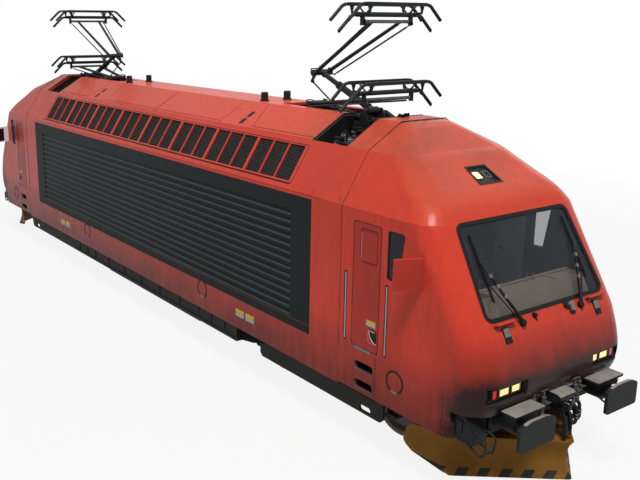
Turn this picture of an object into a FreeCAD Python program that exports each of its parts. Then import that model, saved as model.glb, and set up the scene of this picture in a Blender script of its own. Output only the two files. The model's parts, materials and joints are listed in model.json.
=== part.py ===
"""Electric mainline locomotive with two cabs, two bogies and single-arm pantographs.

Frame: X runs along the track, +X towards cab one. Y is across, Z is up.
The origin lies on the floor plane that the wheel flanges touch, at the middle of the
locomotive. All sizes are millimetres. Heights above the rail are turned into Z by h().
"""
import FreeCAD, Part
import math
import os

V = FreeCAD.Vector

# ---------------------------------------------------------------- driving dimensions
fit_gap = 0.3               # between fixed pieces that seat on one another
run_gap = 6.0               # between pieces that move past one another
flange_height = 30.0        # from the flange tips to the running surface

# body section, half of it, heights above the rail
half_width = 1500.0
sill_low = 770.0            # lower edge of the machine room side
seam_height = 1418.0        # joint between the cab shell and its skirt
eaves_height = 3395.0       # where the vertical side ends
shoulder_half = 1045.0      # half width at the top of the side slope
shoulder_height = 4103.0
crown_half = 444.0          # half width of the flat roof
crown_height = 4460.0
wall = 60.0                 # side and cab wall thickness
roof_wall = 45.0            # roof panel thickness
panel_gap = 5.0             # half of the open joint between two body panels

# places along the body, from the joint between the machine room side and the cab
cab_joint = 6320.0
roof_joint = cab_joint - 470.0      # roof end panel meets the pantograph well
well_start = cab_joint - 1240.0
hatch_joint = 2430.0
arm_slot_start = well_start - 1830.0
arm_slot_half = 260.0
skirt_low = 800.0
skirt_front, skirt_lift = cab_joint + 2110.0, 1190.0     # the nose is open below and ahead of these

# cab nose, side profile: the windscreen plane and the slope above it
screen_foot_x, screen_foot_z = cab_joint + 2385.0, 2190.0
screen_head_x, screen_head_z = cab_joint + 1650.0, 3395.0
nose_slope = 0.60           # fall of the upper nose, height over length
nose_bend_x, nose_bend_z = cab_joint + 1285.0, 3735.0
nose_wall_drop = 40.0       # how far the inner skin lies below the outer one

# windows
screen_top_half, screen_low_half = 1075.0, 1155.0
screen_top_z, screen_low_z = 3372.0, 2330.0
screen_radius = 95.0
seal_width = 32.0
seal_lap = 22.0             # how far the seal covers the glass
seal_proud = 7.0
glass_thick = 14.0
pane_lap = 12.0             # the same for the side windows
window_rear = cab_joint + 920.0
window_front_top, window_front_low = window_rear + 305.0, window_rear + 203.0
window_low, window_top = 2571.0, 3225.0

# cab door
door_rear = cab_joint + 265.0
door_front = door_rear + 525.0
door_low, door_top = 1470.0, 3230.0
door_gap = 7.0
door_bevel = 4.0
door_hinge_in = 20.0        # hinge line forward of the door's rear edge
door_hinge_off = 10.0       # hinge line inboard of the door's inner face
hinge_heights = (1650.0, 2950.0)
hinge_pin, knuckle_height, lug_height = 5.0, 70.0, 36.0

# roof, heights from the crown
well_floor = crown_height - 500.0
well_sheet = 8.0
base_low = crown_height - 260.0              # underside of the pantograph base
channel_low, channel_top = crown_height - 210.0, crown_height - 190.0
well_rim = crown_height - 60.0
insulator_x, insulator_y = (well_start + 100.0, well_start + 670.0), 300.0

# running gear
wheel_radius = 550.0
wheelbase = 2800.0
bogie_centre = cab_joint - 820.0
back_to_back = 1360.0
rim_width = 135.0
axle_radius = 90.0
journal_radius = 70.0
journal_end = back_to_back / 2.0 + rim_width + 315.0
frame_beam_in, frame_beam_out = journal_end - 170.0, journal_end + 10.0
box_face = journal_end + 55.0                # outer face of the axle boxes
spring_seat = wheel_radius - 50.0            # top of the axle box wings
frame_low, frame_top = wheel_radius + 150.0, wheel_radius + 250.0
primary_radius, secondary_radius = 60.0, 110.0
pivot_radius, pivot_low = 109.0, wheel_radius - 10.0
transom_half = 260.0
guard_in, guard_out = box_face + 12.0, box_face + 50.0      # side guards over the axle boxes
guard_low, guard_top = 320.0, 600.0
guard_half = wheelbase / 2.0 + 100.0

# buffers, draw gear and floor
buffer_face = cab_joint + 2930.0
buffer_spacing = 1750.0
buffer_height = 1055.0
beam_front = cab_joint + 2320.0
beam_thick = 90.5
beam_rear, beam_half = beam_front - beam_thick, 1175.0
tread_low = 1245.0
tread_rear, tread_front = buffer_face - 375.0, buffer_face - 150.0
tread_in, tread_out = 550.0, 1115.0
case_half, case_low, case_top = 160.0, 1135.0, 1270.0   # socket case above the draw hook
plough_sheet = 16.0
plough_low, plough_top = 130.0, 640.0
deck_low, deck_high = 608.0, 626.0           # plate between the two wings of the plough
floor_low, floor_top = 1200.0, 1300.0
cab_floor = 1440.0
bulkhead_x, bulkhead_thick = cab_joint + 10.0, 40.0
solebar_half, solebar_low = 3580.0, 470.0
tank_half, case_end = 2000.0, 2900.0         # transformer tank, and the cases at its ends

# pantographs: places above the rail in the lengthwise plane
arm_base_x, arm_base_z = well_start + 145.0, crown_height + 40.0
lower_arm_len = 1350.0
upper_arm_len = 1705.0
raised_lower, raised_upper = 22.6, 28.4      # degrees above the horizontal
folded_base_x, folded_base_z = well_start + 220.0, crown_height - 130.0
folded_more = 90.0          # the folded lower arm is this much longer than the raised one
folded_len = lower_arm_len + folded_more
folded_lower, folded_upper = 6.8, 6.74
head_half = 930.0
strip_offset = 196.0        # contact strips before and behind the cross tube
strip_rise = 255.0          # strips above the cross tube
middle_rise = 100.0         # middle bar above the cross tube
horn_drop, middle_drop = 240.0, 248.0
cross_half = 500.0          # half length of the cross tube
knee_spread, head_spread = 130.0, 285.0      # upper tubes from the middle, at each end
rod_y = -95.0               # lengthwise plane of the control rod
rod_base_x, rod_base_z = well_start - 340.0, crown_height - 115.0
crank_x, crank_z = -110.0, -160.0            # rod eye on the upper arm, from the knee
guide_x, guide_z = 52.0, -38.0               # guide rod eyes, from the knee and from the cross tube
pin_gap = 0.6               # radial play of the pantograph's pins
guide_slide, guide_drift = (8.0, 18.0), (-4.3, 0.7)     # a head pin's travel along and across its guide rod
rod_slide, rod_drift = (0.5, 20.5), (-8.3, 0.9)         # the same for the crank pin and the control rod

# handrails, step holes, lamps and labels
handrail_x = (door_rear - 148.0, door_front + 135.0)
handrail_low, handrail_top = 1480.0, 2495.0
recess_half, recess_depth = 32.0, 42.0
step_hole_x, step_hole_half, step_hole_rise = door_rear + 268.0, 185.0, 62.0
step_hole_z = (1195.0, 925.0)
step_tray_depth = 150.0
lamp_low, lamp_top = 1375.0, 1590.0
lamp_in, lamp_out = 670.0, 1350.0
lamp_face = cab_joint + 2480.0
lens_low, lens_top = 1430.0, 1530.0
lens_spans = ((715.0, 892.0), (921.0, 1118.0), (1160.0, 1232.0))   # two lamps and the tail lamp
headlight_half, headlight_rear, headlight_front = 185.0, nose_bend_x - 305.0, nose_bend_x - 5.0

# dark side panel and its beads
panel_half_len = cab_joint - 675.0
panel_low, panel_top = 1284.0, 3345.0
panel_depth = 34.0
bead_half_len = panel_half_len - 485.0
bead_low, bead_top = 1435.0, 3132.0
bead_count = 14
bead_depth = 22.0

# air grilles in the roof slope
cell_groups, cells_per_group = 8, 3
grille_half_len = well_start - 18.0
grille_margin = 60.0
group_bar, cell_bar = 62.0, 26.0
grille_low_share, grille_top_share = 0.125, 0.895
slope_len = math.hypot(half_width - shoulder_half, shoulder_height - eaves_height)

# reach of cutting tools past the body
out_y = half_width + 100.0
in_y = half_width - wall - 90.0
far_x, far_z = buffer_face + 200.0, crown_height + 200.0


def h(z):
    """Height above the rail to Z in the part's frame."""
    return z + flange_height


# ---------------------------------------------------------------- shape helpers
def box(x0, x1, y0, y1, z0, z1):
    """Block between two corners. Heights are above the rail."""
    return Part.makeBox(x1 - x0, y1 - y0, z1 - z0, V(x0, y0, h(z0)))


def rod(a, b, radius):
    """Round bar from point a to point b, heights above the rail."""
    start = V(a[0], a[1], h(a[2]))
    end = V(b[0], b[1], h(b[2]))
    return Part.makeCylinder(radius, (end - start).Length, start, end - start)


def place(plane, a, b, level):
    """Point of a drawing plane at a level along its normal."""
    if plane == "xy":
        return V(a, b, h(level))
    if plane == "xz":
        return V(a, level, h(b))
    return V(level, a, h(b))


def outline(corners, plane, level):
    """Closed wire through corners (a, b, radius); a radius above 0 rounds that corner."""
    points = [place(plane, c[0], c[1], level) for c in corners]
    count = len(points)
    cuts = []
    for i in range(count):
        here, before, after = points[i], points[i - 1], points[(i + 1) % count]
        radius = corners[i][2]
        if radius <= 0:
            cuts.append((here, None, here))
            continue
        back = (before - here).normalize()
        fore = (after - here).normalize()
        half = back.getAngle(fore) / 2.0
        reach = radius / math.tan(half)
        centre = here + (back + fore).normalize() * (radius / math.sin(half))
        middle = centre + (here - centre).normalize() * radius
        cuts.append((here + back * reach, middle, here + fore * reach))
    edges = []
    for i in range(count):
        start, middle, end = cuts[i]
        if middle is not None:
            edges.append(Part.Arc(start, middle, end).toShape())
        following = cuts[(i + 1) % count][0]
        if (following - end).Length > 1e-6:
            edges.append(Part.LineSegment(end, following).toShape())
    return Part.Wire(edges)


def prism(corners, plane, low, high):
    """Solid with the given outline between two levels along the plane's normal."""
    face = Part.Face(outline(corners, plane, low))
    along = {"xy": V(0, 0, 1), "xz": V(0, 1, 0), "yz": V(1, 0, 0)}[plane]
    return face.extrude(along * (high - low))


def sharp(points):
    """Corners without rounding."""
    return [(a, b, 0) for a, b in points]


def rounded(points, radius):
    """Corners that all share one radius."""
    return [(a, b, radius) for a, b in points]


def rectangle(a0, a1, b0, b1, radius=0):
    return rounded([(a0, b0), (a1, b0), (a1, b1), (a0, b1)], radius)


def revolve_y(profile, x, z):
    """Solid of revolution about the cross axis through (x, z); profile is (radius, y)."""
    points = [V(x, y, h(z) + r) for r, y in profile]
    face = Part.Face(Part.makePolygon(points + [points[0]]))
    return face.revolve(V(x, 0, h(z)), V(0, 1, 0), 360)


def revolve_z(profile, x, y):
    """Solid of revolution about an upright axis through (x, y); profile is (radius, z)."""
    points = [V(x + r, y, h(z)) for r, z in profile]
    face = Part.Face(Part.makePolygon(points + [points[0]]))
    return face.revolve(V(x, y, 0), V(0, 0, 1), 360)


def smooth_path(points):
    """Open wire through points (x, y, height above rail, bend radius)."""
    places = [V(p[0], p[1], h(p[2])) for p in points]
    edges = []
    start = places[0]
    for i in range(1, len(places) - 1):
        back = (places[i - 1] - places[i]).normalize()
        fore = (places[i + 1] - places[i]).normalize()
        half = back.getAngle(fore) / 2.0
        reach = points[i][3] / math.tan(half)
        centre = places[i] + (back + fore).normalize() * (points[i][3] / math.sin(half))
        middle = centre + (places[i] - centre).normalize() * points[i][3]
        edges.append(Part.LineSegment(start, places[i] + back * reach).toShape())
        edges.append(Part.Arc(places[i] + back * reach, middle, places[i] + fore * reach).toShape())
        start = places[i] + fore * reach
    edges.append(Part.LineSegment(start, places[-1]).toShape())
    return Part.Wire(edges)


def bent_bar(points, radius):
    """Round bar or hose along a path with rounded bends."""
    spine = smooth_path(points)
    first = spine.Edges[0]
    start = first.valueAt(first.FirstParameter)
    profile = Part.Wire(Part.makeCircle(radius, start, first.tangentAt(first.FirstParameter)))
    return spine.makePipeShell([profile], True, False)


def fuse(shapes):
    """One solid from several that overlap or meet."""
    whole = shapes[0].multiFuse(shapes[1:]) if len(shapes) > 1 else shapes[0]
    return whole.removeSplitter()


def flip_y(shape):
    return shape.mirror(V(0, 0, 0), V(0, 1, 0))


def turn(shape):
    """The same piece at the other end: half a turn about the upright axis."""
    copy = shape.copy()
    copy.rotate(V(0, 0, 0), V(0, 0, 1), 180)
    return copy


def sides(shape):
    return [shape, flip_y(shape)]


def ends(shapes):
    return list(shapes) + [turn(s) for s in shapes]


def solids(shapes):
    """Flat list of the solids in several shapes."""
    return [s for shape in shapes for s in shape.Solids]


def save(node, shapes):
    """Writes one node as a STEP file."""
    parts = solids(shapes)
    for i, solid in enumerate(parts):
        if not solid.isValid() or solid.Volume <= 0:
            print("CHECK", node, i, solid.isValid(), solid.Volume)
    whole = Part.makeCompound(parts) if len(parts) > 1 else parts[0]
    whole.exportStep("parts/%s.step" % node)


# ---------------------------------------------------------------- nose form
def half_width_at(z):
    """Half width of the body section at a height."""
    if z <= eaves_height:
        return half_width
    if z <= shoulder_height:
        share = (z - eaves_height) / (shoulder_height - eaves_height)
        return half_width + share * (shoulder_half - half_width)
    share = (z - shoulder_height) / (crown_height - shoulder_height)
    return shoulder_half + share * (crown_half - shoulder_half)


def slope_x(z):
    """Front of the upper nose slope at a height."""
    return nose_bend_x - (z - nose_bend_z) / nose_slope


screen_lean = (screen_head_x - screen_foot_x) / (screen_head_z - screen_foot_z)

# each band is lofted; columns: height above the rail, front from the cab joint, corner radius
nose_bands = [
    [(skirt_low, 2240, 380), (1100, 2395, 380), (1300, 2550, 380), (1450, 2585, 380), (1620, 2580, 380),
     (1850, 2526, 380), (2040, 2460, 380), (screen_foot_z, screen_foot_x - cab_joint, 380)],
    [(screen_foot_z, screen_foot_x - cab_joint, 380), (screen_head_z, screen_head_x - cab_joint, 380)],
    [(screen_head_z, screen_head_x - cab_joint, 380), (3450, 1615, 376), (3560, 1532, 368),
     (3650, 1422, 358), (nose_bend_z, nose_bend_x - cab_joint, 348), (3900, slope_x(3900) - cab_joint, 325),
     (shoulder_height, slope_x(shoulder_height) - cab_joint, 300)],
]

# flat facets over the crown, above the last band
crown_rows = [
    (shoulder_height, slope_x(shoulder_height) - cab_joint, 300), (4380, slope_x(4380) - cab_joint, 175),
    (4430, 105, 150), (4452, 10, 135), (crown_height, -120, 120),
]

# flat facets of the inner skin; columns: height above the rail, front from the cab joint, corner chamfer
inner_rows = [
    (skirt_low - 60, 2220, 300), (1300, 2550, 300), (1620, 2580, 300),
    (screen_foot_z, screen_foot_x - cab_joint, 300), (screen_head_z, screen_head_x - cab_joint, 300),
    (nose_bend_z, nose_bend_x - cab_joint, 300),
    (shoulder_height, slope_x(shoulder_height) - cab_joint, 300),
    (4380, slope_x(4380) - cab_joint, 150), (crown_height, -120, 150),
]


def nose_form():
    """Outer solid of the cab body, each band lofted through plan outlines."""
    bands = []
    for rows in nose_bands + [crown_rows]:
        wires = []
        for z, reach, radius in rows:
            w = half_width_at(z)
            front = cab_joint + reach
            corners = [(roof_joint, -w, 0), (front, -w, radius), (front, w, radius), (roof_joint, w, 0)]
            wires.append(outline(corners, "xy", z))
        bands.append(Part.makeLoft(wires, True, len(rows) == 2 or rows is crown_rows))
    whole = bands[0]
    for band in bands[1:]:
        whole = whole.fuse(band)
    return whole


def inner_form():
    """Solid of the space inside the cab body, with flat facets and chamfered corners."""
    wires = []
    for z, reach, chamfer in inner_rows:
        w = half_width_at(z) - wall
        f = cab_joint + reach - wall
        wires.append(outline(sharp([(roof_joint - 100, -w), (f - chamfer, -w), (f, chamfer - w),
                                    (f, w - chamfer), (f - chamfer, w), (roof_joint - 100, w)]), "xy", z))
    solid = Part.makeLoft(wires, True, True)
    solid.translate(V(0, 0, -nose_wall_drop))
    return solid


def screen_frame():
    """Placement whose Z is the windscreen's outward normal and whose X is across the body."""
    run = V(screen_head_x - screen_foot_x, 0, screen_head_z - screen_foot_z).normalize()
    across = V(0, 1, 0)
    normal = across.cross(run)
    foot = V(screen_foot_x, 0, h(screen_foot_z))
    matrix = FreeCAD.Matrix(across.x, run.x, normal.x, foot.x,
                            across.y, run.y, normal.y, foot.y,
                            across.z, run.z, normal.z, foot.z,
                            0, 0, 0, 1)
    return FreeCAD.Placement(matrix)


def on_screen(solid):
    """Moves a solid drawn flat (across, up the screen, outward) onto the windscreen plane."""
    solid.Placement = screen_frame()
    return solid


def flat_prism(corners, low, high):
    """Solid with a flat outline between two local depths, not yet placed."""
    return prism(corners, "xy", low - flange_height, high - flange_height)


def screen_prism(grow, low, high):
    """Solid with the windscreen's outline, grown by a margin, between two depths."""
    lean = math.hypot(1.0, screen_lean)
    v0 = (screen_low_z - screen_foot_z) * lean - grow
    v1 = (screen_top_z - screen_foot_z) * lean + grow
    w0 = screen_low_half + grow
    w1 = screen_top_half + grow
    r = screen_radius + grow
    return on_screen(flat_prism([(-w0, v0, r), (w0, v0, r), (w1, v1, r), (-w1, v1, r)], low, high))


def side_window_prism(grow, y0, y1):
    corners = [(window_rear - grow, window_low - grow), (window_front_low + grow, window_low - grow),
               (window_front_top + grow, window_top + grow), (window_rear - grow, window_top + grow)]
    return prism(rounded(corners, 40 + grow), "xz", y0, y1)


def lamp_prism(grow, x0, x1):
    """Outline of the right-hand lamp opening between two x."""
    return prism(rectangle(-lamp_out - grow, -lamp_in + grow, lamp_low - grow, lamp_top + grow, 12),
                 "yz", x0, x1)


def headlight_prism(grow):
    """Upright prism of the top headlight opening, a little wider at its front."""
    front_half = headlight_half + 30
    corners = [(headlight_rear - grow, -headlight_half - grow), (headlight_front + grow, -front_half - grow),
               (headlight_front + grow, front_half + grow), (headlight_rear - grow, headlight_half + grow)]
    return prism(rounded(corners, 20), "xy", nose_bend_z - 235, nose_bend_z + 565)


def slope_slab(depth, thick):
    """Slab that lies under the upper nose slope, a depth below it."""
    x0, x1 = headlight_rear - 200, headlight_front + 200
    z0 = nose_bend_z + (nose_bend_x - x0) * nose_slope - depth
    z1 = nose_bend_z + (nose_bend_x - x1) * nose_slope - depth
    return prism(sharp([(x0, z0), (x1, z1), (x1, z1 - thick), (x0, z0 - thick)]), "xz", -400, 400)


# ---------------------------------------------------------------- cab
def make_cab_pieces(outer, inner):
    """Cab shell, its skirt and the roof end panel, all cut from one nose form."""
    skin = outer.cut(inner)
    right_tools = [side_window_prism(0, -out_y, -in_y), lamp_prism(0, lamp_face - 300, far_x)]
    right_tools.append(prism(rectangle(door_rear - door_gap, door_front + door_gap,
                                       door_low - door_gap, door_top + door_gap, 30),
                             "xz", -out_y, -in_y))
    for x in handrail_x:
        right_tools.append(prism(rectangle(x - recess_half, x + recess_half, handrail_low, handrail_top, 25),
                                 "xz", -out_y, -half_width + recess_depth))
    tools = [t for right in right_tools for t in sides(right)]
    tools += [screen_prism(0, -260, 200), headlight_prism(0)]
    shell = skin.common(box(cab_joint, far_x, -out_y, out_y, seam_height, far_z))
    for tool in tools:
        shell = shell.cut(tool)
    for lug in make_hinge_lugs():
        for piece in sides(lug):
            shell = shell.fuse(piece)
    skirt = skin.common(box(cab_joint, far_x, -out_y, out_y, skirt_low, seam_height - panel_gap))
    skirt = skirt.cut(box(skirt_front, far_x, -out_y, out_y, skirt_low - 100, skirt_lift))
    skirt = skirt.cut(box(beam_rear, far_x, -case_half - 10, case_half + 10, skirt_low - 100, case_top + 10))
    for lamp in sides(lamp_prism(0, lamp_face - 300, far_x)):
        skirt = skirt.cut(lamp)
    for z in step_hole_z:
        for y0, y1 in ((-out_y, -in_y), (in_y, out_y)):
            skirt = skirt.cut(prism(rectangle(step_hole_x - step_hole_half, step_hole_x + step_hole_half,
                                              z - step_hole_rise, z + step_hole_rise, 55),
                                    "xz", y0, y1))
    lid = skin.common(box(roof_joint, cab_joint - panel_gap, -out_y, out_y, eaves_height, far_z))
    return shell, skirt, lid


def make_windscreen():
    """Glass pane, and the seal that holds it in its opening."""
    glass = screen_prism(-seal_lap - fit_gap, -22, -22 + glass_thick)
    lip = screen_prism(seal_width, fit_gap, seal_proud).cut(screen_prism(-seal_lap, -50, 50))
    plug = screen_prism(-fit_gap, -40, seal_proud).cut(screen_prism(-seal_lap, -50, 50))
    return glass, fuse([lip, plug])


def make_side_window():
    """Right-hand side window pane, and its seal."""
    outside = -half_width
    glass = side_window_prism(-pane_lap - fit_gap, outside + 8, outside + 8 + glass_thick)
    seal = side_window_prism(-fit_gap, outside - 2, outside + 40)
    seal = seal.cut(side_window_prism(-pane_lap, outside - 20, outside + 60))
    return glass, seal


def make_bulkhead(inner):
    """Rear wall of the cab, fitted to the inside of the shell."""
    return inner.common(box(bulkhead_x, bulkhead_x + bulkhead_thick, -out_y, out_y,
                            cab_floor + fit_gap, far_z))


def make_desk():
    """Driver's desk across the cab, with knee room at the back."""
    z = cab_floor + fit_gap
    x = screen_foot_x
    section = [(x - 545, z), (x - 205, z), (x - 145, 2150), (x - 345, 2500), (x - 585, 2500),
               (x - 755, 2400),
               (x - 755, 2320), (x - 545, 2250)]
    half = half_width - wall - 360
    return prism(sharp(section), "xz", -half, half)


def make_seat():
    """Driver's seat: pedestal, cushion and backrest in one piece."""
    x, y = cab_joint + 1240, 420
    pieces = [rod((x, y, cab_floor + fit_gap), (x, y, 1850), 60),
              prism(rectangle(x - 220, x + 240, y - 240, y + 240, 60), "xy", 1840, 1940),
              prism([(x - 230, 1900, 20), (x - 130, 1900, 20), (x - 220, 2520, 40), (x - 310, 2520, 40)],
                    "xz", y - 220, y + 220)]
    return fuse(pieces)


def make_lamp_housing(outer):
    """Right-hand lamp housing that fills its opening, hollowed round the lamps."""
    block = lamp_prism(-fit_gap, lamp_face - 120, far_x)
    skin = outer.copy()
    skin.translate(V(-6, 0, 0))
    block = block.common(skin)
    return block.cut(lamp_prism(-10, lamp_face, far_x))


def make_lenses():
    """Right-hand lenses on the face of the housing."""
    return [prism(rectangle(-y1, -y0, lens_low, lens_top, 8), "yz", lamp_face + fit_gap, lamp_face + 30)
            for y0, y1 in lens_spans]


def make_top_light():
    """Housing of the top headlight and its two lamps under a clear cover."""
    block = headlight_prism(-fit_gap)
    housing = block.common(slope_slab(8, 130)).cut(headlight_prism(-12).common(slope_slab(0, 70)))
    cover = headlight_prism(-12 - fit_gap).common(slope_slab(14, 8))
    lamps = []
    for s in (-1, 1):
        x, z = headlight_rear + 140, nose_bend_z - 95
        lamps.append(rod((x, s * 95, z), (x + 60, s * 95, z + 60), 70).common(slope_slab(30, 40 - fit_gap)))
    return housing, cover, lamps


def make_mirror():
    """Right-hand mirror flap, standing out from the cab side."""
    inner_x, outer_x = cab_joint + 1560.0, cab_joint + 1400.0
    y = -half_width - fit_gap
    edge = -half_width - 340.0
    t = 60.0
    corners = [(inner_x, y, 0), (inner_x - t, y, 0), (outer_x - t, edge, 22), (outer_x, edge, 22)]
    return prism(corners, "xy", 2600, 3000)


def make_handrail(x):
    """Upright grab bar in its recess, with a foot at each end."""
    y = -half_width + 8
    foot_y = -half_width + recess_depth - fit_gap
    low, top = handrail_low + 25, handrail_top - 25
    bar = rod((x, y, low), (x, y, top), 13)
    feet = [rod((x, y, z), (x, foot_y, z), 10) for z in (low + 20, top - 20)]
    return fuse([bar] + feet)


def make_step_tray(z):
    """Right-hand step pocket behind one hole of the skirt."""
    y0 = -half_width + wall + fit_gap
    t = 6.0
    x0, x1 = step_hole_x - step_hole_half - 15, step_hole_x + step_hole_half + 15
    z0, z1 = z - step_hole_rise - 12, z + step_hole_rise + 12
    tray = box(x0, x1, y0, y0 + step_tray_depth, z0, z1)
    return tray.cut(box(x0 + t, x1 - t, y0 - 20, y0 + step_tray_depth - t, z0 + t, z1 - t))


def make_wiper():
    """Right-hand wiper: hub, arm and blade, drawn flat on the screen plane."""
    hub = (-590.0, 40.0)
    tip = (-930.0, 850.0)
    lift = 26.0
    z = -flange_height
    parts = [Part.makeCylinder(27, lift + 14, V(hub[0], hub[1], fit_gap)),
             rod((hub[0], hub[1], lift + z), (tip[0], tip[1], lift + z), 11),
             flat_prism(rectangle(-944, -916, 380, 1240, 10), -7, 12),
             Part.makeCylinder(16, lift + 8, V(tip[0], tip[1], 6))]
    return on_screen(fuse(parts))


def make_nose_fitting():
    """Right-hand step ledge with a flat grip under it, on the nose below the windscreen."""
    ledge = on_screen(flat_prism(rectangle(-985, -790, 84, 104, 6), fit_gap, 62))
    x, y = screen_foot_x, 903.0
    grip = bent_bar([(x + 28, -y, 2150, 0), (x + 85, -y, 2165, 20), (x + 145, -y, 2035, 20),
                     (x + 90, -y, 2020, 0)], 13)
    return ledge, grip


# ---------------------------------------------------------------- machine room body
def make_side_wall():
    """Right-hand machine room side, with a pocket for the dark panel and a lip under the roof edge."""
    wall_solid = box(-cab_joint + panel_gap, cab_joint - panel_gap, -half_width, -half_width + wall,
                     sill_low, eaves_height)
    rebate = Part.makeBox(2 * roof_joint, 300, 300, V(-roof_joint, 0, -roof_wall - fit_gap))
    wall_solid = wall_solid.cut(on_slope(rebate))
    pocket = box(-panel_half_len, panel_half_len, -out_y, -half_width + panel_depth, panel_low, panel_top)
    lip = Part.makeBox(2 * roof_joint - 20, 80, 15,
                       V(-roof_joint + 10, -20, -roof_wall - fit_gap - 15))
    return fuse([wall_solid, on_slope(lip)]).cut(pocket)


def make_side_panel():
    """Dark panel with a flat border and a field of lengthwise beads."""
    face_y = -half_width - 2
    plate = box(-panel_half_len + panel_gap, panel_half_len - panel_gap, face_y,
                -half_width + panel_depth - fit_gap, panel_low + fit_gap, panel_top - panel_gap)
    pitch = (bead_top - bead_low) / bead_count
    tools = []
    for i in range(bead_count):
        low = bead_low + i * pitch
        groove = [(face_y - 5, low + pitch * 0.10), (face_y, low + pitch * 0.10),
                  (face_y + bead_depth, low + pitch * 0.30), (face_y + bead_depth, low + pitch * 0.48),
                  (face_y, low + pitch * 0.92), (face_y - 5, low + pitch * 0.92)]
        tools.append(prism(sharp(groove), "yz", -bead_half_len, bead_half_len))
    return plate.cut(Part.makeCompound(tools))


def slope_frame():
    """Placement on the right-hand roof slope: X along the body, Y up the slope, Z outward."""
    up = V(0, half_width - shoulder_half, shoulder_height - eaves_height).normalize()
    normal = V(1, 0, 0).cross(up)
    foot = V(0, -half_width, h(eaves_height))
    matrix = FreeCAD.Matrix(1, up.x, normal.x, foot.x,
                            0, up.y, normal.y, foot.y,
                            0, up.z, normal.z, foot.z,
                            0, 0, 0, 1)
    return FreeCAD.Placement(matrix)


def on_slope(solid):
    solid.Placement = slope_frame()
    return solid


def grille_cells():
    """Start and end of each grille cell along the body."""
    clear = 2 * (grille_half_len - grille_margin) - (cell_groups - 1) * group_bar
    clear -= cell_groups * (cells_per_group - 1) * cell_bar
    width = clear / (cell_groups * cells_per_group)
    cells = []
    x = -grille_half_len + grille_margin
    for _group in range(cell_groups):
        for cell in range(cells_per_group):
            cells.append((x, x + width))
            x += width + (cell_bar if cell < cells_per_group - 1 else group_bar)
    return cells


def make_roof_edge():
    """Sloped roof edge with the openings of the air grilles."""
    plate = Part.makeBox(2 * roof_joint - 2 * fit_gap, slope_len - panel_gap, roof_wall,
                         V(-roof_joint + fit_gap, panel_gap, -roof_wall))
    low, top = slope_len * grille_low_share, slope_len * grille_top_share
    holes = [Part.makeBox(x1 - x0, top - low - 60, 200, V(x0, low + 30, -100))
             for x0, x1 in grille_cells()]
    return on_slope(plate.cut(Part.makeCompound(holes)))


def make_roof_grille():
    """Plate of fine mesh that stands behind the openings of one roof edge."""
    low, top = slope_len * grille_low_share, slope_len * grille_top_share
    return on_slope(Part.makeBox(2 * grille_half_len, top - low, 20,
                                 V(-grille_half_len, low, -roof_wall - 20 - fit_gap)))


def roof_piece(x0, x1):
    """Length of the top roof section as a bent panel, its edges square to the slope."""
    rise = (shoulder_height - eaves_height) / slope_len
    run = (half_width - shoulder_half) / slope_len
    pitch = (crown_height - shoulder_height) / (shoulder_half - crown_half)
    reach = roof_wall / (run + rise * pitch)
    groove = 8.0
    side = shoulder_half - fit_gap / rise
    section = [(-side + groove * rise, shoulder_height - groove * run),
               (-side + groove, shoulder_height + groove * pitch),
               (-crown_half, crown_height)]
    lower = [(-crown_half, crown_height - roof_wall),
             (-side + reach * rise, shoulder_height - reach * run)]
    right = section + [(-y, z) for y, z in reversed(section)] + [(-y, z) for y, z in reversed(lower)] + lower
    return prism(sharp(right), "yz", x0, x1)


def make_roof_hatches():
    """Four removable roof panels; the end ones are open over the folded arms."""
    gap = panel_gap
    middle = roof_piece(gap, hatch_joint - gap)
    end = roof_piece(hatch_joint + gap, well_start)
    slot = box(arm_slot_start, well_start + 50, -arm_slot_half, arm_slot_half, base_low, far_z)
    return ends([middle, end.cut(slot)])


# ---------------------------------------------------------------- roof equipment
def make_well():
    """Trough across the roof, with a shallow channel towards the middle for the arms."""
    t = well_sheet
    g = fit_gap
    half = shoulder_half + 25.0
    section = [(-half, well_floor), (half, well_floor), (half - 90, well_floor + 120),
               (crown_half - 10, well_rim), (10 - crown_half, well_rim), (90 - half, well_floor + 120)]
    floor = box(well_start + g, roof_joint - g, -half, half, well_floor, well_floor + t)
    rear = prism(sharp(section), "yz", well_start + g, well_start + g + t)
    rear = rear.cut(box(well_start - 5, well_start + 20, -arm_slot_half + 20, arm_slot_half - 20,
                        channel_top, far_z))
    front = prism(sharp(section), "yz", roof_joint - g - t, roof_joint - g)
    channel = box(arm_slot_start - 40, well_start + g + t, -arm_slot_half - 40, arm_slot_half + 40,
                  channel_low, channel_top)
    walls = [box(arm_slot_start - 40, well_start + g + t, s * (arm_slot_half + 30) - 10,
                 s * (arm_slot_half + 30) + 10, channel_top - 10, well_rim + 2) for s in (-1, 1)]
    return fuse([floor, rear, front, channel] + walls)


def insulator(x, y, z0, z1, radius):
    """Ribbed upright insulator between two heights."""
    ribs = 4
    step = (z1 - z0) / ribs
    profile = [(0, z0)]
    for i in range(ribs):
        base = z0 + i * step
        profile += [(radius * 0.6, base), (radius * 0.6, base + step * 0.45),
                    (radius, base + step * 0.55), (radius, base + step * 0.8)]
    profile += [(radius * 0.6, z1), (0, z1)]
    return revolve_z(profile, x, y)


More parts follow.
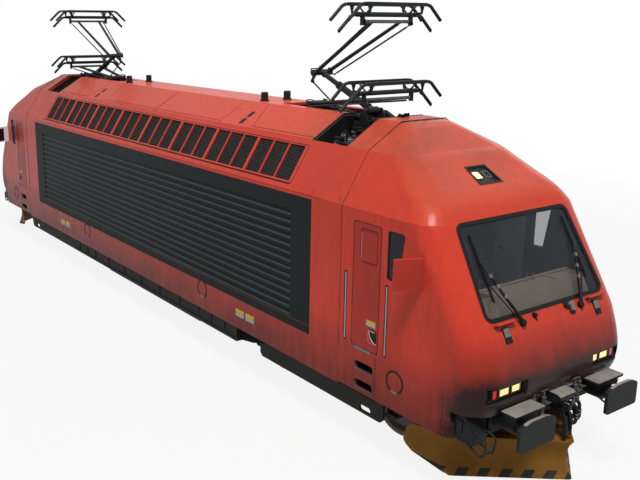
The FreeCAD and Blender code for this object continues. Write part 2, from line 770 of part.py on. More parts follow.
def make_base_frame():
    """Pantograph base: a frame, two cheeks and the pivot tubes of both arms."""
    x0, z = well_start, base_low
    y1 = insulator_y
    pieces = [box(x0 + 50, x0 + 720, y - 35, y + 35, z, z + 60) for y in (-y1, y1)]
    pieces += [box(x - 35, x + 35, -y1 - 35, y1 + 35, z, z + 50) for x in insulator_x]
    for y in (-180, 180):
        x1, waist = arm_base_x, folded_base_z + 15
        cheek = prism([(x1 - 80, z + 20, 0), (x1 + 175, z + 20, 0), (x1 + 120, waist, 30),
                       (x1 + 40, arm_base_z + 30, 25), (x1 - 40, arm_base_z + 30, 25), (x1 - 80, waist, 10)],
                      "xz", y - 10, y + 10)
        pieces.append(cheek)
        pieces.append(box(x0 + 250, x0 + 720, y - 10, y + 10, z, z + 45))
    pieces.append(rod((arm_base_x, -190, arm_base_z), (arm_base_x, 190, arm_base_z), 34))
    pieces.append(rod((folded_base_x, -190, folded_base_z), (folded_base_x, 190, folded_base_z), 28))
    return fuse(pieces)


def make_rod_bracket():
    """Bracket in the arm channel that carries the pivot of the control rod."""
    x, z = rod_base_x, rod_base_z
    foot = channel_top + fit_gap
    plate = prism([(x - 60, foot, 0), (x + 60, foot, 0), (x + 25, z + 22, 15),
                   (x - 25, z + 22, 15)], "xz", rod_y - 38, rod_y - 22)
    return fuse([plate, rod((x, rod_y - 38, z), (x, rod_y + 16, z), 9)])


def make_roof_cylinder(x, y):
    """Dark cylinder on a flange, one of a pair on the roof."""
    z = crown_height + fit_gap
    return revolve_z([(0, z), (85, z), (85, z + 18), (65, z + 18), (65, z + 140), (55, z + 155),
                      (0, z + 155)], x, y)


# ---------------------------------------------------------------- pantograph
def knee_of(base_x, base_z, length, angle):
    a = math.radians(angle)
    return base_x - length * math.cos(a), base_z + length * math.sin(a)


def head_of(knee, length, angle):
    a = math.radians(angle)
    return knee[0] + length * math.cos(a), knee[1] + length * math.sin(a)


def cross_rod(point, y0, y1, radius):
    """Bar across the locomotive through a point (x, height)."""
    return rod((point[0], y0, point[1]), (point[0], y1, point[1]), radius)


def make_lower_arm(base, knee, pivot_radius, with_pins):
    """Thick tube that steps down at mid length, with a hub at its foot and the knee pin."""
    length = math.hypot(knee[0] - base[0], knee[1] - base[1])
    ux, uz = (knee[0] - base[0]) / length, (knee[1] - base[1]) / length
    mid = (base[0] + ux * length * 0.62, base[1] + uz * length * 0.62)
    pieces = [rod((base[0], 0, base[1]), (mid[0], 0, mid[1]), 54),
              rod((mid[0], 0, mid[1]), (knee[0], 0, knee[1]), 40),
              cross_rod(base, -100, 100, 56),
              cross_rod(knee, -70, 70, 48)]
    if with_pins:
        eye = (knee[0] + guide_x, knee[1] + guide_z)
        pieces.append(cross_rod(knee, -215, 215, 20))
        pieces.append(cross_rod(eye, -250, 250, 8))
        pieces.append(prism([(knee[0] - 20, knee[1] + 30, 0), (knee[0] + 20, knee[1] + 30, 0),
                             (eye[0] + 20, eye[1], 14), (eye[0] - 8, eye[1] - 20, 10)], "xz", -14, 14))
    return fuse(pieces).cut(cross_rod(base, -120, 120, pivot_radius + pin_gap))


def make_upper_arm(knee, head, pin_radius, crank):
    """Two tubes that spread from the knee to the cross tube, with the control rod's crank."""
    sleeves, legs = [], []
    for s in (-1, 1):
        y0, y1 = sorted((s * 78, s * 205))
        sleeves.append(cross_rod(knee, y0, y1, 46))
        legs.append(rod((knee[0], s * knee_spread, knee[1]), (head[0], s * head_spread, head[1]), 24))
    cross = cross_rod(head, -cross_half, cross_half, 17)
    if crank:
        eye = (knee[0] + crank_x, knee[1] + crank_z)
        plate = prism([(knee[0] - 30, knee[1] + 10, 0), (knee[0] + 30, knee[1] - 10, 0),
                       (eye[0] + 24, eye[1] - 12, 12), (eye[0] - 24, eye[1] + 4, 12)],
                      "xz", rod_y - 38, rod_y - 20)
        sleeves += [plate, cross_rod(eye, rod_y - 38, rod_y + 16, 9)]
        bore = cross_rod(knee, -260, 260, pin_radius + pin_gap)
        return [fuse(sleeves + legs + [cross]).cut(bore)]
    bars = [leg.cut(cross).cut(sleeve) for leg, sleeve in zip(legs, sleeves)]
    return sleeves + bars + [cross]


def horn_bar(x, z_top, drop, radius):
    """Bar across the head with both ends bent down."""
    flat = head_half - 265
    bend = 190.0
    return bent_bar([(x, -head_half, z_top - drop, 0), (x, -flat, z_top, bend), (x, flat, z_top, bend),
                     (x, head_half, z_top - drop, 0)], radius)


def make_head(head, play):
    """Collector head: two strips, a middle bar, and the plates that hang on the cross tube."""
    x, z = head
    top = z + strip_rise
    pieces = [horn_bar(x, z + middle_rise, middle_drop, 19)]
    for s in (-1, 1):
        pieces.append(horn_bar(x + s * strip_offset, top, horn_drop, 19))
        for t in (-1, 1):
            pieces.append(rod((x + s * strip_offset, t * 430, top), (x, t * 430, z + middle_rise), 14))
    for t in (-1, 1):
        plate = prism([(x - 24, z - 34, 10), (x + 24, z - 34, 10), (x + 24, z + middle_rise, 0),
                       (x - 24, z + middle_rise, 0)], "xz", t * 488 - 9, t * 488 + 9)
        pieces.append(plate)
    whole = fuse(pieces)
    if play:
        eye = (x + guide_x, z + guide_z)
        for t in (-1, 1):
            y0, y1 = sorted((t * 462, t * 479.5))
            lug = prism([(x - 15, z + 60, 0), (x + 24, z + 60, 0), (eye[0] + 18, eye[1] + 10, 10),
                         (eye[0] + 10, eye[1] - 18, 10), (x - 15, z - 34, 5)], "xz", y0, y1)
            whole = whole.fuse(lug)
            y0, y1 = sorted((t * 436, t * 479.5))
            whole = whole.fuse(cross_rod(eye, y0, y1, 7))
        whole = whole.removeSplitter()
    return whole.cut(cross_rod(head, -cross_half - 20, cross_half + 20, 17 + (pin_gap if play else fit_gap)))


def slotted_eye(foot, eye, slide, drift, pin, ring, y0, y1):
    """Ring and bore of a rod's open end: the pin slides along the rod and drifts to one side of it."""
    reach = math.hypot(eye[0] - foot[0], eye[1] - foot[1])
    ux, uz = (eye[0] - foot[0]) / reach, (eye[1] - foot[1]) / reach
    middle, spare = (drift[0] + drift[1]) / 2.0, (drift[1] - drift[0]) / 2.0
    made = []
    for half, low, high in ((spare + pin + pin_gap, y0 - 30, y1 + 30), (ring, y0, y1)):
        corners = []
        for a, b in ((-slide[0] - half, -half), (slide[1] + half, -half),
                     (slide[1] + half, half), (-slide[0] - half, half)):
            b += middle
            corners.append((eye[0] + ux * a - uz * b, eye[1] + uz * a + ux * b, half - 0.5))
        made.append(prism(corners, "xz", low, high))
    return made[1], made[0]


def make_guide_rods(knee, head):
    """Two thin rods beside the upper tubes that keep the head level."""
    rods = []
    for s in (-1, 1):
        a = (knee[0] + guide_x, s * 236, knee[1] + guide_z)
        b = (head[0] + guide_x, s * 448, head[1] + guide_z)
        ring, bore = slotted_eye((a[0], a[2]), (b[0], b[2]), guide_slide, guide_drift, 7, 18,
                                 b[1] - 10, b[1] + 10)
        eye = cross_rod((a[0], a[2]), a[1] - 10, a[1] + 10, 17)
        whole = fuse([rod(a, b, 9), eye, ring]).cut(bore)
        rods.append(whole.cut(cross_rod((a[0], a[2]), a[1] - 40, a[1] + 40, 8 + pin_gap)))
    return rods


def make_control_rod(knee):
    """Rod from the bracket in the channel to the crank on the upper arm."""
    eye = (knee[0] + crank_x, knee[1] + crank_z)
    foot = (rod_base_x, rod_base_z)
    ring, bore = slotted_eye(foot, eye, rod_slide, rod_drift, 9, 26, rod_y - 12, rod_y + 12)
    bar = rod((foot[0], rod_y, foot[1]), (eye[0], rod_y, eye[1]), 13)
    whole = fuse([bar, cross_rod(foot, rod_y - 12, rod_y + 12, 24), ring]).cut(bore)
    return whole.cut(cross_rod(foot, rod_y - 40, rod_y + 40, 9 + pin_gap))


# ---------------------------------------------------------------- underframe
def make_underframe():
    """Floor slab with the raised cab floors and the two bogie pivots."""
    slab_half = half_width - wall - fit_gap
    front = beam_rear - fit_gap
    back, narrow = front - 149, slab_half - 155
    corners = sharp([(-back, -slab_half), (back, -slab_half), (front, -narrow), (front, narrow),
                     (back, slab_half), (-back, slab_half), (-front, narrow), (-front, -narrow)])
    pieces = [prism(corners, "xy", floor_low, floor_top)]
    for s in (-1, 1):
        x0, x1 = sorted((s * bulkhead_x, s * (back - 5)))
        pieces.append(box(x0, x1, -slab_half, slab_half, floor_top, cab_floor))
        pieces.append(rod((s * bogie_centre, 0, pivot_low), (s * bogie_centre, 0, floor_low + 10),
                          pivot_radius))
    frame = fuse(pieces)
    x0, x1 = step_hole_x - step_hole_half - 25, step_hole_x + step_hole_half + 25
    for s in (-1, 1):
        y0, y1 = sorted((s * (slab_half - step_tray_depth - 10), s * out_y))
        notch = box(x0, x1, y0, y1, floor_low - 10, step_hole_z[0] + step_hole_rise + 22)
        frame = frame.cut(notch).cut(turn(notch))
    return frame


def make_solebars():
    """Deep beams under both edges of the floor, between the bogies."""
    y = half_width - wall
    return sides(box(-solebar_half, solebar_half, fit_gap - y, 150 - y, solebar_low, floor_low - fit_gap))


def make_equipment_cases():
    """Transformer tank between the bogies with a smaller case at each end of it."""
    top = floor_low - fit_gap
    y = half_width - wall - 210
    tank = box(-tank_half, tank_half, -y, y, 300, top)
    case = sides(box(tank_half + fit_gap, case_end, -y, 480 - y, 420, top))
    return [tank], ends(case)


def make_buffer_beam():
    return box(beam_rear, beam_front, -beam_half, beam_half, buffer_height - 225, buffer_height + 225)


def make_bogie_frame():
    """H frame round its centre: two side beams joined by a transom and two end ties."""
    end, ramp = wheelbase / 2 + 650, wheelbase / 2 + 360
    dip, low, top = 820, frame_low, frame_top
    side = [(-end, low + 60, 0), (-ramp, low, 60), (-dip - 270, low, 60), (-dip, low - 140, 60),
            (dip, low - 140, 60), (dip + 270, low, 60), (ramp, low, 60), (end, low + 60, 0),
            (end, top + 100, 40), (dip + 180, top + 100, 60), (dip - 120, top, 60), (120 - dip, top, 60),
            (-dip - 180, top + 100, 60), (-end, top + 100, 40)]
    pieces = []
    y = frame_beam_in + 20
    for s in (-1, 1):
        y0, y1 = sorted((s * frame_beam_in, s * frame_beam_out))
        pieces.append(prism(side, "xz", y0, y1))
        x = s * (end - 50)
        pieces.append(box(x - 50, x + 50, -y, y, top - 20, top + 80))
    pieces.append(box(-transom_half, transom_half, -y, y, low - 120, top - 20))
    return fuse(pieces + make_guards()).cut(rod((0, 0, low - 200), (0, 0, top + 100), pivot_radius + 1.0))


def make_guards():
    """Side guards of a bogie frame, each hung outside the axle boxes on four brackets."""
    end, low, top, lug_top = guard_half, guard_low, guard_top, frame_low + 75
    guard = prism([(-end, low + 60, 20), (60 - end, low, 30), (end - 60, low, 30), (end, low + 60, 20),
                   (end, lug_top, 10), (end - 100, lug_top, 10), (end - 120, top, 20), (120 - end, top, 20),
                   (100 - end, lug_top, 10), (-end, lug_top, 10)], "xz", guard_in, guard_out)
    brackets = []
    y0, y1 = frame_beam_out - 15, guard_in + 8
    for s in (-1, 1):
        x0, x1 = sorted((s * (end - 490), s * (end - 260)))
        guard = guard.cut(prism(rectangle(x0, x1, low + 38, low + 125, 36), "xz", y0, guard_out + 5))
        middle, outer = s * 900, s * (end - 50)
        brackets.append(box(middle - 40, middle + 40, y0, y1, top - 60, frame_low + 30))
        brackets.append(box(outer - 40, outer + 40, y0, y1, frame_low + 15, lug_top - 5))
    return sides(guard) + [b for bracket in brackets for b in sides(bracket)]


def make_axle_boxes():
    """Four boxes on the journals, each with a blind bore and wings for the springs."""
    boxes = []
    wing = spring_seat - fit_gap
    foot, top = wheel_radius - 120, wheel_radius + 140
    for x in (-wheelbase / 2, wheelbase / 2):
        shape = prism([(x - 280, foot, 30), (x + 280, foot, 30), (x + 280, wing, 10), (x + 150, wing, 0),
                       (x + 130, top, 30), (x - 130, top, 30), (x - 150, wing, 0), (x - 280, wing, 10)],
                      "xz", frame_beam_in + 10, box_face)
        bore = rod((x, frame_beam_in - 60, wheel_radius), (x, journal_end + 8, wheel_radius),
                   journal_radius + 1.0)
        boxes += sides(shape.cut(bore))
    return boxes


def coil(radius, low, high, turns):
    """Profile of a coil spring drawn as a stack of rounded turns."""
    step = (high - low) / turns
    profile = [(0, low), (radius, low)]
    for i in range(turns):
        base = low + i * step
        profile += [(radius, base + step * 0.35), (radius * 0.86, base + step * 0.5),
                    (radius, base + step * 0.65)]
    return profile + [(radius, high), (0, high)]


def make_springs():
    """Two primary coil packs beside each axle box and two secondary springs each side."""
    packs = []
    for x in (-wheelbase / 2, wheelbase / 2):
        for dx in (-215, 215):
            packs.append(revolve_z(coil(primary_radius, spring_seat, frame_low - fit_gap, 4),
                                   x + dx, journal_end - 60))
    for dx in (-330, 330):
        packs.append(revolve_z(coil(secondary_radius, frame_top + fit_gap, floor_low - fit_gap, 5),
                               dx, (frame_beam_in + frame_beam_out) / 2))
    return [s for pack in packs for s in sides(pack)]


def make_motors():
    """Two traction motors hung on the transom between the wheels of one bogie."""
    edge, z = transom_half + fit_gap, wheel_radius
    half = back_to_back / 2 - 120
    body = prism([(430, z - 220, 60), (1090, z - 220, 90), (1090, z + 10, 90), (900, z + 90, 60),
                  (430, z + 170, 0), (edge, z + 170, 0), (edge, z + 50, 0), (430, z + 10, 0)],
                 "xz", -half, half)
    return [body, turn(body)]


def make_wheelset(x):
    """Axle, two wheels and the journals, turned as one piece."""
    inner = back_to_back / 2.0
    outer = inner + rim_width
    r = wheel_radius
    half = [(0, 0), (axle_radius, 0), (axle_radius, inner - 60), (axle_radius + 45, inner - 40),
            (axle_radius + 55, inner + 20), (r - 130, inner + 45), (r - 80, inner),
            (r + flange_height - 6, inner), (r + flange_height, inner + 10),
            (r + flange_height - 4, inner + 22), (r + 4, inner + 34), (r, inner + 60),
            (r - 4, outer), (r - 80, outer), (r - 130, inner + 80),
            (axle_radius + 60, inner + 110), (axle_radius + 40, outer + 10), (axle_radius, outer + 20),
            (journal_radius, outer + 40), (journal_radius, journal_end), (0, journal_end)]
    return revolve_y(half, x, r).fuse(flip_y(revolve_y(half, x, r))).removeSplitter()


# ---------------------------------------------------------------- ends
def make_buffer():
    """Side buffer: flange, housing, plunger, tall rounded head and the tread plate above it."""
    y = buffer_spacing / 2.0
    z = buffer_height
    half = 335.0
    head = prism([(y - half, z - 165, 40), (y + half, z - 165, 40), (y + half, z + 145, 60),
                  (y + 150, z + 205, 200), (y - 150, z + 205, 200), (y - half, z + 145, 60)],
                 "yz", buffer_face - 45, buffer_face)
    body = fuse([head, rod((beam_front + 20, y, z), (buffer_face - 260, y, z), 125),
                 rod((buffer_face - 280, y, z), (buffer_face - 40, y, z), 95),
                 prism(rectangle(y - 190, y + 190, z - 170, z + 150, 30), "yz",
                       beam_front + fit_gap, beam_front + 35)])
    post_top = tread_low - fit_gap
    post = box(tread_rear + 15, tread_front - 40, tread_in + 90, tread_out - 60, z + 90, post_top)
    tread = prism(rectangle(tread_rear, tread_front, tread_in, tread_out, 15), "xy",
                  tread_low, tread_low + 30)
    return fuse([body, post]), tread


def make_draw_gear():
    """Draw hook under a square socket case, with the links of the screw coupling."""
    x0 = beam_front + fit_gap
    x, z = beam_front, buffer_height
    hook = prism([(x0, z - 55, 0), (x + 350, z - 55, 20), (x + 440, z - 15, 30), (x + 450, z + 65, 20),
                  (x + 410, z + 70, 12), (x + 400, z + 25, 12), (x + 350, z + 20, 12), (x + 320, z + 55, 10),
                  (x0, z + 65, 0)], "xz", -35, 35)
    plate = box(x0, x + 30, -case_half, case_half, z - 155, case_low - fit_gap)
    case = prism([(x0, case_low, 0), (x + 320, case_low, 30), (x + 395, case_low + 55, 20),
                  (x + 395, case_top - 25, 15), (x + 350, case_top, 15), (x0, case_top, 0)],
                 "xz", -case_half, case_half)
    pieces = [hook, plate, rod((x + 335, -75, z - 5), (x + 335, 75, z - 5), 22),
              rod((x + 420, -75, z - 320), (x + 420, 75, z - 320), 24)]
    for s in (-1, 1):
        y0, y1 = sorted((s * 44, s * 62))
        pieces.append(prism([(x + 305, z + 15, 15), (x + 355, z + 25, 15), (x + 450, z - 185, 30),
                             (x + 450, z - 360, 15), (x + 390, z - 360, 15), (x + 390, z - 195, 30)],
                            "xz", y0, y1))
    return [fuse(pieces), case]


def make_hoses():
    """Two brake hoses each side of the hook, looped from a cock to a holder on the buffer beam."""
    hoses = []
    x0, x = beam_front + fit_gap, beam_front
    z = buffer_height - 75
    across, drop, hold = 100, 230, 85           # from the cock to the bottom of the loop and to the holder
    hose_radius, cock_radius, holder_radius = 24, 40, 36
    for y0, reach in ((325, 330), (470, 280)):
        for s in (-1, 1):
            y1 = s * (y0 - across)
            y = s * y0
            hose = bent_bar([(x0, y, z, 0), (x + reach - 20, y, z, 70), (x + reach, y, z - drop, 48),
                             (x + reach, y1, z - drop, 48), (x + reach - 20, y1, z - hold, 55),
                             (x0, y1, z - hold, 0)], hose_radius)
            cock = rod((x0, y, z), (x0 + 90, y, z), cock_radius)
            holder = rod((x0, y1, z - hold), (x0 + 60, y1, z - hold), holder_radius)
            hoses.append(fuse([hose, cock, holder]))
    return hoses


def make_plough():
    """Snow plough: two hollow-faced wings that meet in a prow, with a deck between them."""
    # columns: height, prow, wing corner forward and across, half width at the rear
    rows = [(plough_low, 2880, 1890, 1255, 1330), (300, 2790, 1790, 1225, 1335),
            (480, 2785, 1730, 1200, 1365), (plough_top, 2870, 1770, 1195, 1405)]
    x = cab_joint
    rear = x + 1000
    skins = []
    for inset in (0, plough_sheet):
        wires = []
        for z, prow, corner, across, half in rows:
            tip, bend, y, w = x + prow - inset * 1.5, x + corner - inset, across - inset, half - inset
            corners = [(rear, -w, 0), (bend, -y, 200), (tip, 0, 60), (bend, y, 200), (rear, w, 0)]
            wires.append(outline(corners, "xy", z))
        skins.append(Part.makeLoft(wires, True, False))
    x0, x1 = x + 1960, x + 2060
    cross = box(x0, x1, -out_y, out_y, deck_low - 60, deck_high)
    deck = box(x1 - 10, far_x, -out_y, out_y, deck_low, deck_high)
    hollow = skins[1].cut(fuse([cross, deck]))
    blade = skins[0].cut(hollow)
    # the wings end in a rounded leaf, with the lower edge rising to the rear
    kept = prism([(x + 1145, 330, 110), (x + 1250, 620, 200), (x + 1560, 720, 0), (far_x, 720, 0),
                  (far_x, 40, 0), (x + 2040, 40, 0), (x + 1880, 145, 60), (x + 1310, 228, 140)],
                 "xz", -out_y, out_y)
    hangers = [box(x0, x1, s * 560 - 40, s * 560 + 40, deck_low - 30, floor_low - fit_gap) for s in (-1, 1)]
    return fuse([blade.common(kept)] + hangers)


def make_corner_step():
    """Right-hand shunter's step: a box on the nose corner, with two hoops and a tread bar."""
    x, y = skirt_front, 205.0 - half_width
    top = skirt_lift - fit_gap
    step = prism([(x, top, 30), (x + 170, top, 10), (x + 330, 960, 20), (x + 310, 820, 20),
                  (x + 60, 820, 30)], "xz", y - 115, y + 115)
    hoops = [bent_bar([(x + 90, y + dy, 840, 0), (x + 440, y + dy, 705, 60), (x + 480, y + dy, 960, 70),
                       (x + 200, y + dy, 1010, 0)], 13) for dy in (-80, 95)]
    tread = rod((x + 395, y - 80, 722), (x + 395, y + 95, 722), 13)
    return fuse([step, tread] + hoops)


def hinge_point():
    """Place of the right-hand door's hinge line, as x and y."""
    return door_rear + door_hinge_in, -half_width + wall + door_hinge_off


def make_hinge_lugs():
    """Lugs on the inside of the right-hand jamb, each with an upright pin."""
    x, y = hinge_point()
    face = y - door_hinge_off
    lugs = []
    for z in hinge_heights:
        plate = prism(sharp([(x - 70, face - 2), (x - 30, face - 2), (x - 24, face + 3), (x + 3, face + 3),
                             (x + 7, y), (x + 3, y + 7), (x - 70, y + 7)]), "xy", z, z + lug_height)
        pin_top = z + lug_height + knuckle_height
        lugs.append(fuse([plate, rod((x, y, z + 10), (x, y, pin_top), hinge_pin)]))
    return lugs


def make_door():
    """Right-hand cab door, opening inwards about its rear edge."""
    outer_front = door_front - door_bevel
    corners = [(door_rear, -half_width), (outer_front, -half_width),
               (door_front, -half_width + wall), (door_rear, -half_width + wall)]
    slab = prism(sharp(corners), "xy", door_low, door_top)
    slab = slab.common(prism(rectangle(door_rear, door_front, door_low, door_top, 26),
                             "xz", -out_y, -in_y))
    x0, x1 = door_rear, door_front
    pocket = prism(rectangle(x1 - 190, x1 - 20, 1590, 1790, 30), "xz", -out_y, -half_width + 30)
    panel = prism(rectangle(x0 + 145, x1 - 65, door_top - 530, door_top - 80, 35),
                  "xz", -out_y, -half_width + 8)
    slab = slab.cut(pocket).cut(panel)
    x, y = hinge_point()
    face = y - door_hinge_off
    for z in hinge_heights:
        low = z + lug_height + fit_gap
        knuckle = prism([(x - 9, face - 2, 0), (x + 9, face - 2, 0), (x + 9, y + 9, 8), (x - 9, y + 9, 8)],
                        "xy", low, low + knuckle_height)
        pin_hole = rod((x, y, low - 5), (x, y, low + knuckle_height + 5), hinge_pin + pin_gap)
        slab = slab.fuse(knuckle).cut(pin_hole)
    return slab.removeSplitter()


# ---------------------------------------------------------------- the whole locomotive
def build():
    os.makedirs("parts", exist_ok=True)
    outer, inner = nose_form(), inner_form()
    shell, skirt, lid = make_cab_pieces(outer, inner)
    save("cab_shells", ends([shell]))
    save("cab_skirts", ends([skirt]))
    save("roof_end_panels", ends([lid]))
    save("side_walls", sides(make_side_wall()))
    save("side_panels", sides(make_side_panel()))
    save("roof_edges", sides(make_roof_edge()))
    save("roof_grilles", sides(make_roof_grille()))
    save("roof_hatches", make_roof_hatches())
    save("pantograph_wells", ends([make_well()]))

    # cab fittings
    glass, seal = make_windscreen()
    pane, pane_seal = make_side_window()
    save("windscreens", ends([glass]))
    save("side_windows", ends(sides(pane)))
    save("window_seals", ends([seal] + sides(pane_seal)))
    save("cab_bulkheads", ends([make_bulkhead(inner)]))
    save("driver_desks", ends([make_desk()]))
    save("driver_seats", ends([make_seat()]))
    housing, cover, top_lamps = make_top_light()
    save("lamp_housings", ends(sides(make_lamp_housing(outer)) + [housing]))
    lenses = [lens for right in make_lenses() for lens in sides(right)]
    save("lamp_lenses", ends(lenses + top_lamps + [cover]))
    save("mirrors", ends(sides(make_mirror())))
    save("handrails", ends([s for x in handrail_x for s in sides(make_handrail(x))]))
    step = make_corner_step()
    trays = [s for z in step_hole_z for s in sides(make_step_tray(z))]
    save("cab_steps", ends(trays + sides(step)))
    save("wipers", ends(sides(make_wiper())))
    ledge, grip = make_nose_fitting()
    save("nose_ledges", ends(sides(ledge) + sides(grip)))

    # roof
    base_z = well_floor + well_sheet + fit_gap
    stands = [insulator(x, y, base_z, base_low - fit_gap, 62) for x in insulator_x
              for y in (-insulator_y, insulator_y)]
    save("roof_insulators", ends(stands))
    save("pantograph_bases", ends([make_base_frame(), make_rod_bracket()]))
    cylinders = [make_roof_cylinder(hatch_joint + 270, y) for y in (-250, 250)]
    save("roof_cylinders", ends(cylinders))

    # pantographs: one raised and one folded over each end
    knee = knee_of(arm_base_x, arm_base_z, lower_arm_len, raised_lower)
    head = head_of(knee, upper_arm_len, raised_upper)
    raised = (("lower_arm", make_lower_arm((arm_base_x, arm_base_z), knee, 34, True)),
              ("upper_arm", make_upper_arm(knee, head, 20, True)[0]),
              ("head", make_head(head, True)),
              ("guide_rods", Part.makeCompound(make_guide_rods(knee, head))),
              ("control_rod", make_control_rod(knee)))
    for name, shape in raised:
        save("front_" + name, [shape])
        save("rear_" + name, [turn(shape)])
    low_knee = knee_of(folded_base_x, folded_base_z, folded_len, folded_lower)
    low_head = head_of(low_knee, upper_arm_len, folded_upper)
    folded = [make_lower_arm((folded_base_x, folded_base_z), low_knee, 28, False)]
    folded += make_upper_arm(low_knee, low_head, 20, False)
    folded.append(make_head(low_head, False))
    save("folded_pantographs", ends(folded))

    # underframe and ends
    tank, cases = make_equipment_cases()
    save("underframe", [make_underframe()])
    save("solebars", make_solebars())
    save("underfloor_cases", tank + cases)
    save("buffer_beams", ends([make_buffer_beam()]))
    buffer, tread = make_buffer()
    save("buffers", ends(sides(buffer) + sides(tread)))
    save("draw_gear", ends(make_draw_gear()))
    save("brake_hoses", ends(make_hoses()))
    save("snow_ploughs", ends([make_plough()]))

    # bogies
    along = V(bogie_centre, 0, 0)
    sets = (("frame", [make_bogie_frame()]), ("axle_boxes", make_axle_boxes()),
            ("springs", make_springs()), ("motors", make_motors()))
    for name, shapes in sets:
        front = []
        for shape in shapes:
            moved = shape.copy()
            moved.translate(along)
            front.append(moved)
        save("front_bogie_" + name, front)
        save("rear_bogie_" + name, [turn(s) for s in front])
    for i, s in enumerate((1, -1)):
        x = bogie_centre + s * wheelbase / 2
        save("wheelset_%d" % (i + 1), [make_wheelset(x)])
        save("wheelset_%d" % (4 - i), [turn(make_wheelset(x))])

    # doors
    door = make_door()
    save("front_right_door", [door])
    save("front_left_door", [flip_y(door)])
    save("rear_left_door", [turn(door)])
    save("rear_right_door", [turn(flip_y(door))])


build()
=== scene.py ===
# %% [markdown]
# # An electric locomotive, finished in Blender
# The solid model of the locomotive comes in as a fixed frame. This notebook gives every part
# of it a real finish, and adds the small work that makes a machine believable: louvres,
# screws, cushions, pipes and lamps. Each step first says what the thing is, then makes it.

import bpy
import bmesh
import json
import math
from mathutils import Matrix, Vector

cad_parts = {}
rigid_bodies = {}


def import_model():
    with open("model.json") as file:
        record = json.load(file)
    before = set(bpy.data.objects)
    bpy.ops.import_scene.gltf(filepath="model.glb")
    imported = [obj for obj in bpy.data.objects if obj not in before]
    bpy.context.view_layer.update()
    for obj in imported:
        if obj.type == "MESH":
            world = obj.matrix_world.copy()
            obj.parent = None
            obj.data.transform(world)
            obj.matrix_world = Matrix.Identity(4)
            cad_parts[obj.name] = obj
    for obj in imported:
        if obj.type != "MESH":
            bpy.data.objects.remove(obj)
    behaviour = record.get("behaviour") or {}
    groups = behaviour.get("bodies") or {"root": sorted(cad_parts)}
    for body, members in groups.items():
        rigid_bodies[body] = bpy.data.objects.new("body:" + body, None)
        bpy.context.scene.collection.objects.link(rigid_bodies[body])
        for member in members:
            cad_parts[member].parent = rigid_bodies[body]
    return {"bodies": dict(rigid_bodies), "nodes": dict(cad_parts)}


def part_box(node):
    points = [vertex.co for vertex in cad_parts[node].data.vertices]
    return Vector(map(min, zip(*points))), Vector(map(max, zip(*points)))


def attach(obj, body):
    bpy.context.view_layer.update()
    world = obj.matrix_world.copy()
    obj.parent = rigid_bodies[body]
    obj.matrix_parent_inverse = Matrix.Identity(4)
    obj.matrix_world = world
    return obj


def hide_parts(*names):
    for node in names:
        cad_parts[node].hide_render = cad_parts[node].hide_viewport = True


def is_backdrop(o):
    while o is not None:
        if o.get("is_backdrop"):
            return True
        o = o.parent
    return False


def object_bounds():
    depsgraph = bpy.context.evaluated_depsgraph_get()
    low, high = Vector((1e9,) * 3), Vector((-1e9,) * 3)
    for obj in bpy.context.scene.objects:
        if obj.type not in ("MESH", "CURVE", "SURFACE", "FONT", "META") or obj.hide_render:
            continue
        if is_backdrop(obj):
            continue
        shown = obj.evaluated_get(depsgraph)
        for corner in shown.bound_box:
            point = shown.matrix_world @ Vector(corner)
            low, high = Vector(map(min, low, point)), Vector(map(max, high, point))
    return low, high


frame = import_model()
cad_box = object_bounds()

# %% [markdown]
# ## The sizes that everything hangs on
# A locomotive is drawn from the top of the rail, and the frame's floor lies a wheel flange
# lower. All heights here are written above the rail and lifted by `RAIL` when they are used,
# so that they can be checked against a drawing.

# %% Shared sizes, in metres
RAIL = 0.030                # running surface above the floor
HALF_WIDTH = 1.5            # body side
CAB_JOINT = 6.32            # where the cab meets the machine room
ROOF_JOINT = 5.85           # where the roof end panel meets the well
WELL_START = 5.08           # where the well meets the outer roof hatch
EAVES, SHOULDER, CROWN = 3.395, 4.103, 4.460
SHOULDER_HALF, CROWN_HALF = 1.045, 0.444
SCREEN_FOOT, SCREEN_HEAD = (8.705, 2.190), (7.97, 3.395)
BOGIE = 5.5                 # bogie centre
HALF_BASE = 1.4             # from the bogie centre to each axle
WHEEL = 0.55                # wheel radius
BUFFER_ACROSS, BUFFER_UP = 0.875, 1.055
ENDS = (1, -1)
SIDES = (-1, 1)


def up(x, y, z):
    """A point given above the rail, as a vector in the frame."""
    return Vector((x, y, z + RAIL))


def turned(point, end):
    """The same point at the other end of the locomotive, half a turn round."""
    return Vector((point[0] * end, point[1] * end, point[2]))

# %% [markdown]
# ## The camera
# The locomotive is seen from high at its right-hand front corner, through a fairly long lens,
# so that the far end still reads as a strong shape. The camera is aimed with two angles and a
# small shift, as a view camera is, because a shift keeps the framing without tilting the view.

# %% Place the camera
CAMERA_AT = (14.5639, -8.6313, 5.8331)
CAMERA_YAW, CAMERA_PITCH, CAMERA_ROLL = 34.934, 13.502, 0.186
CAMERA_LENS, CAMERA_SHIFT = 45.73, (0.094, -0.034)

yaw, pitch = math.radians(CAMERA_YAW), math.radians(CAMERA_PITCH)
looking = Vector((-math.cos(yaw) * math.cos(pitch), math.sin(yaw) * math.cos(pitch), -math.sin(pitch)))
camera = bpy.data.objects.new("camera", bpy.data.cameras.new("camera"))
bpy.context.scene.collection.objects.link(camera)
camera.matrix_world = (Matrix.Translation(CAMERA_AT) @ looking.to_track_quat("-Z", "Y").to_matrix().to_4x4()
                       @ Matrix.Rotation(math.radians(CAMERA_ROLL), 4, "Z"))
camera.data.lens = CAMERA_LENS
camera.data.shift_x, camera.data.shift_y = CAMERA_SHIFT
camera.data.clip_end = 500
bpy.context.scene.camera = camera
print("camera looks along", [round(v, 3) for v in looking])

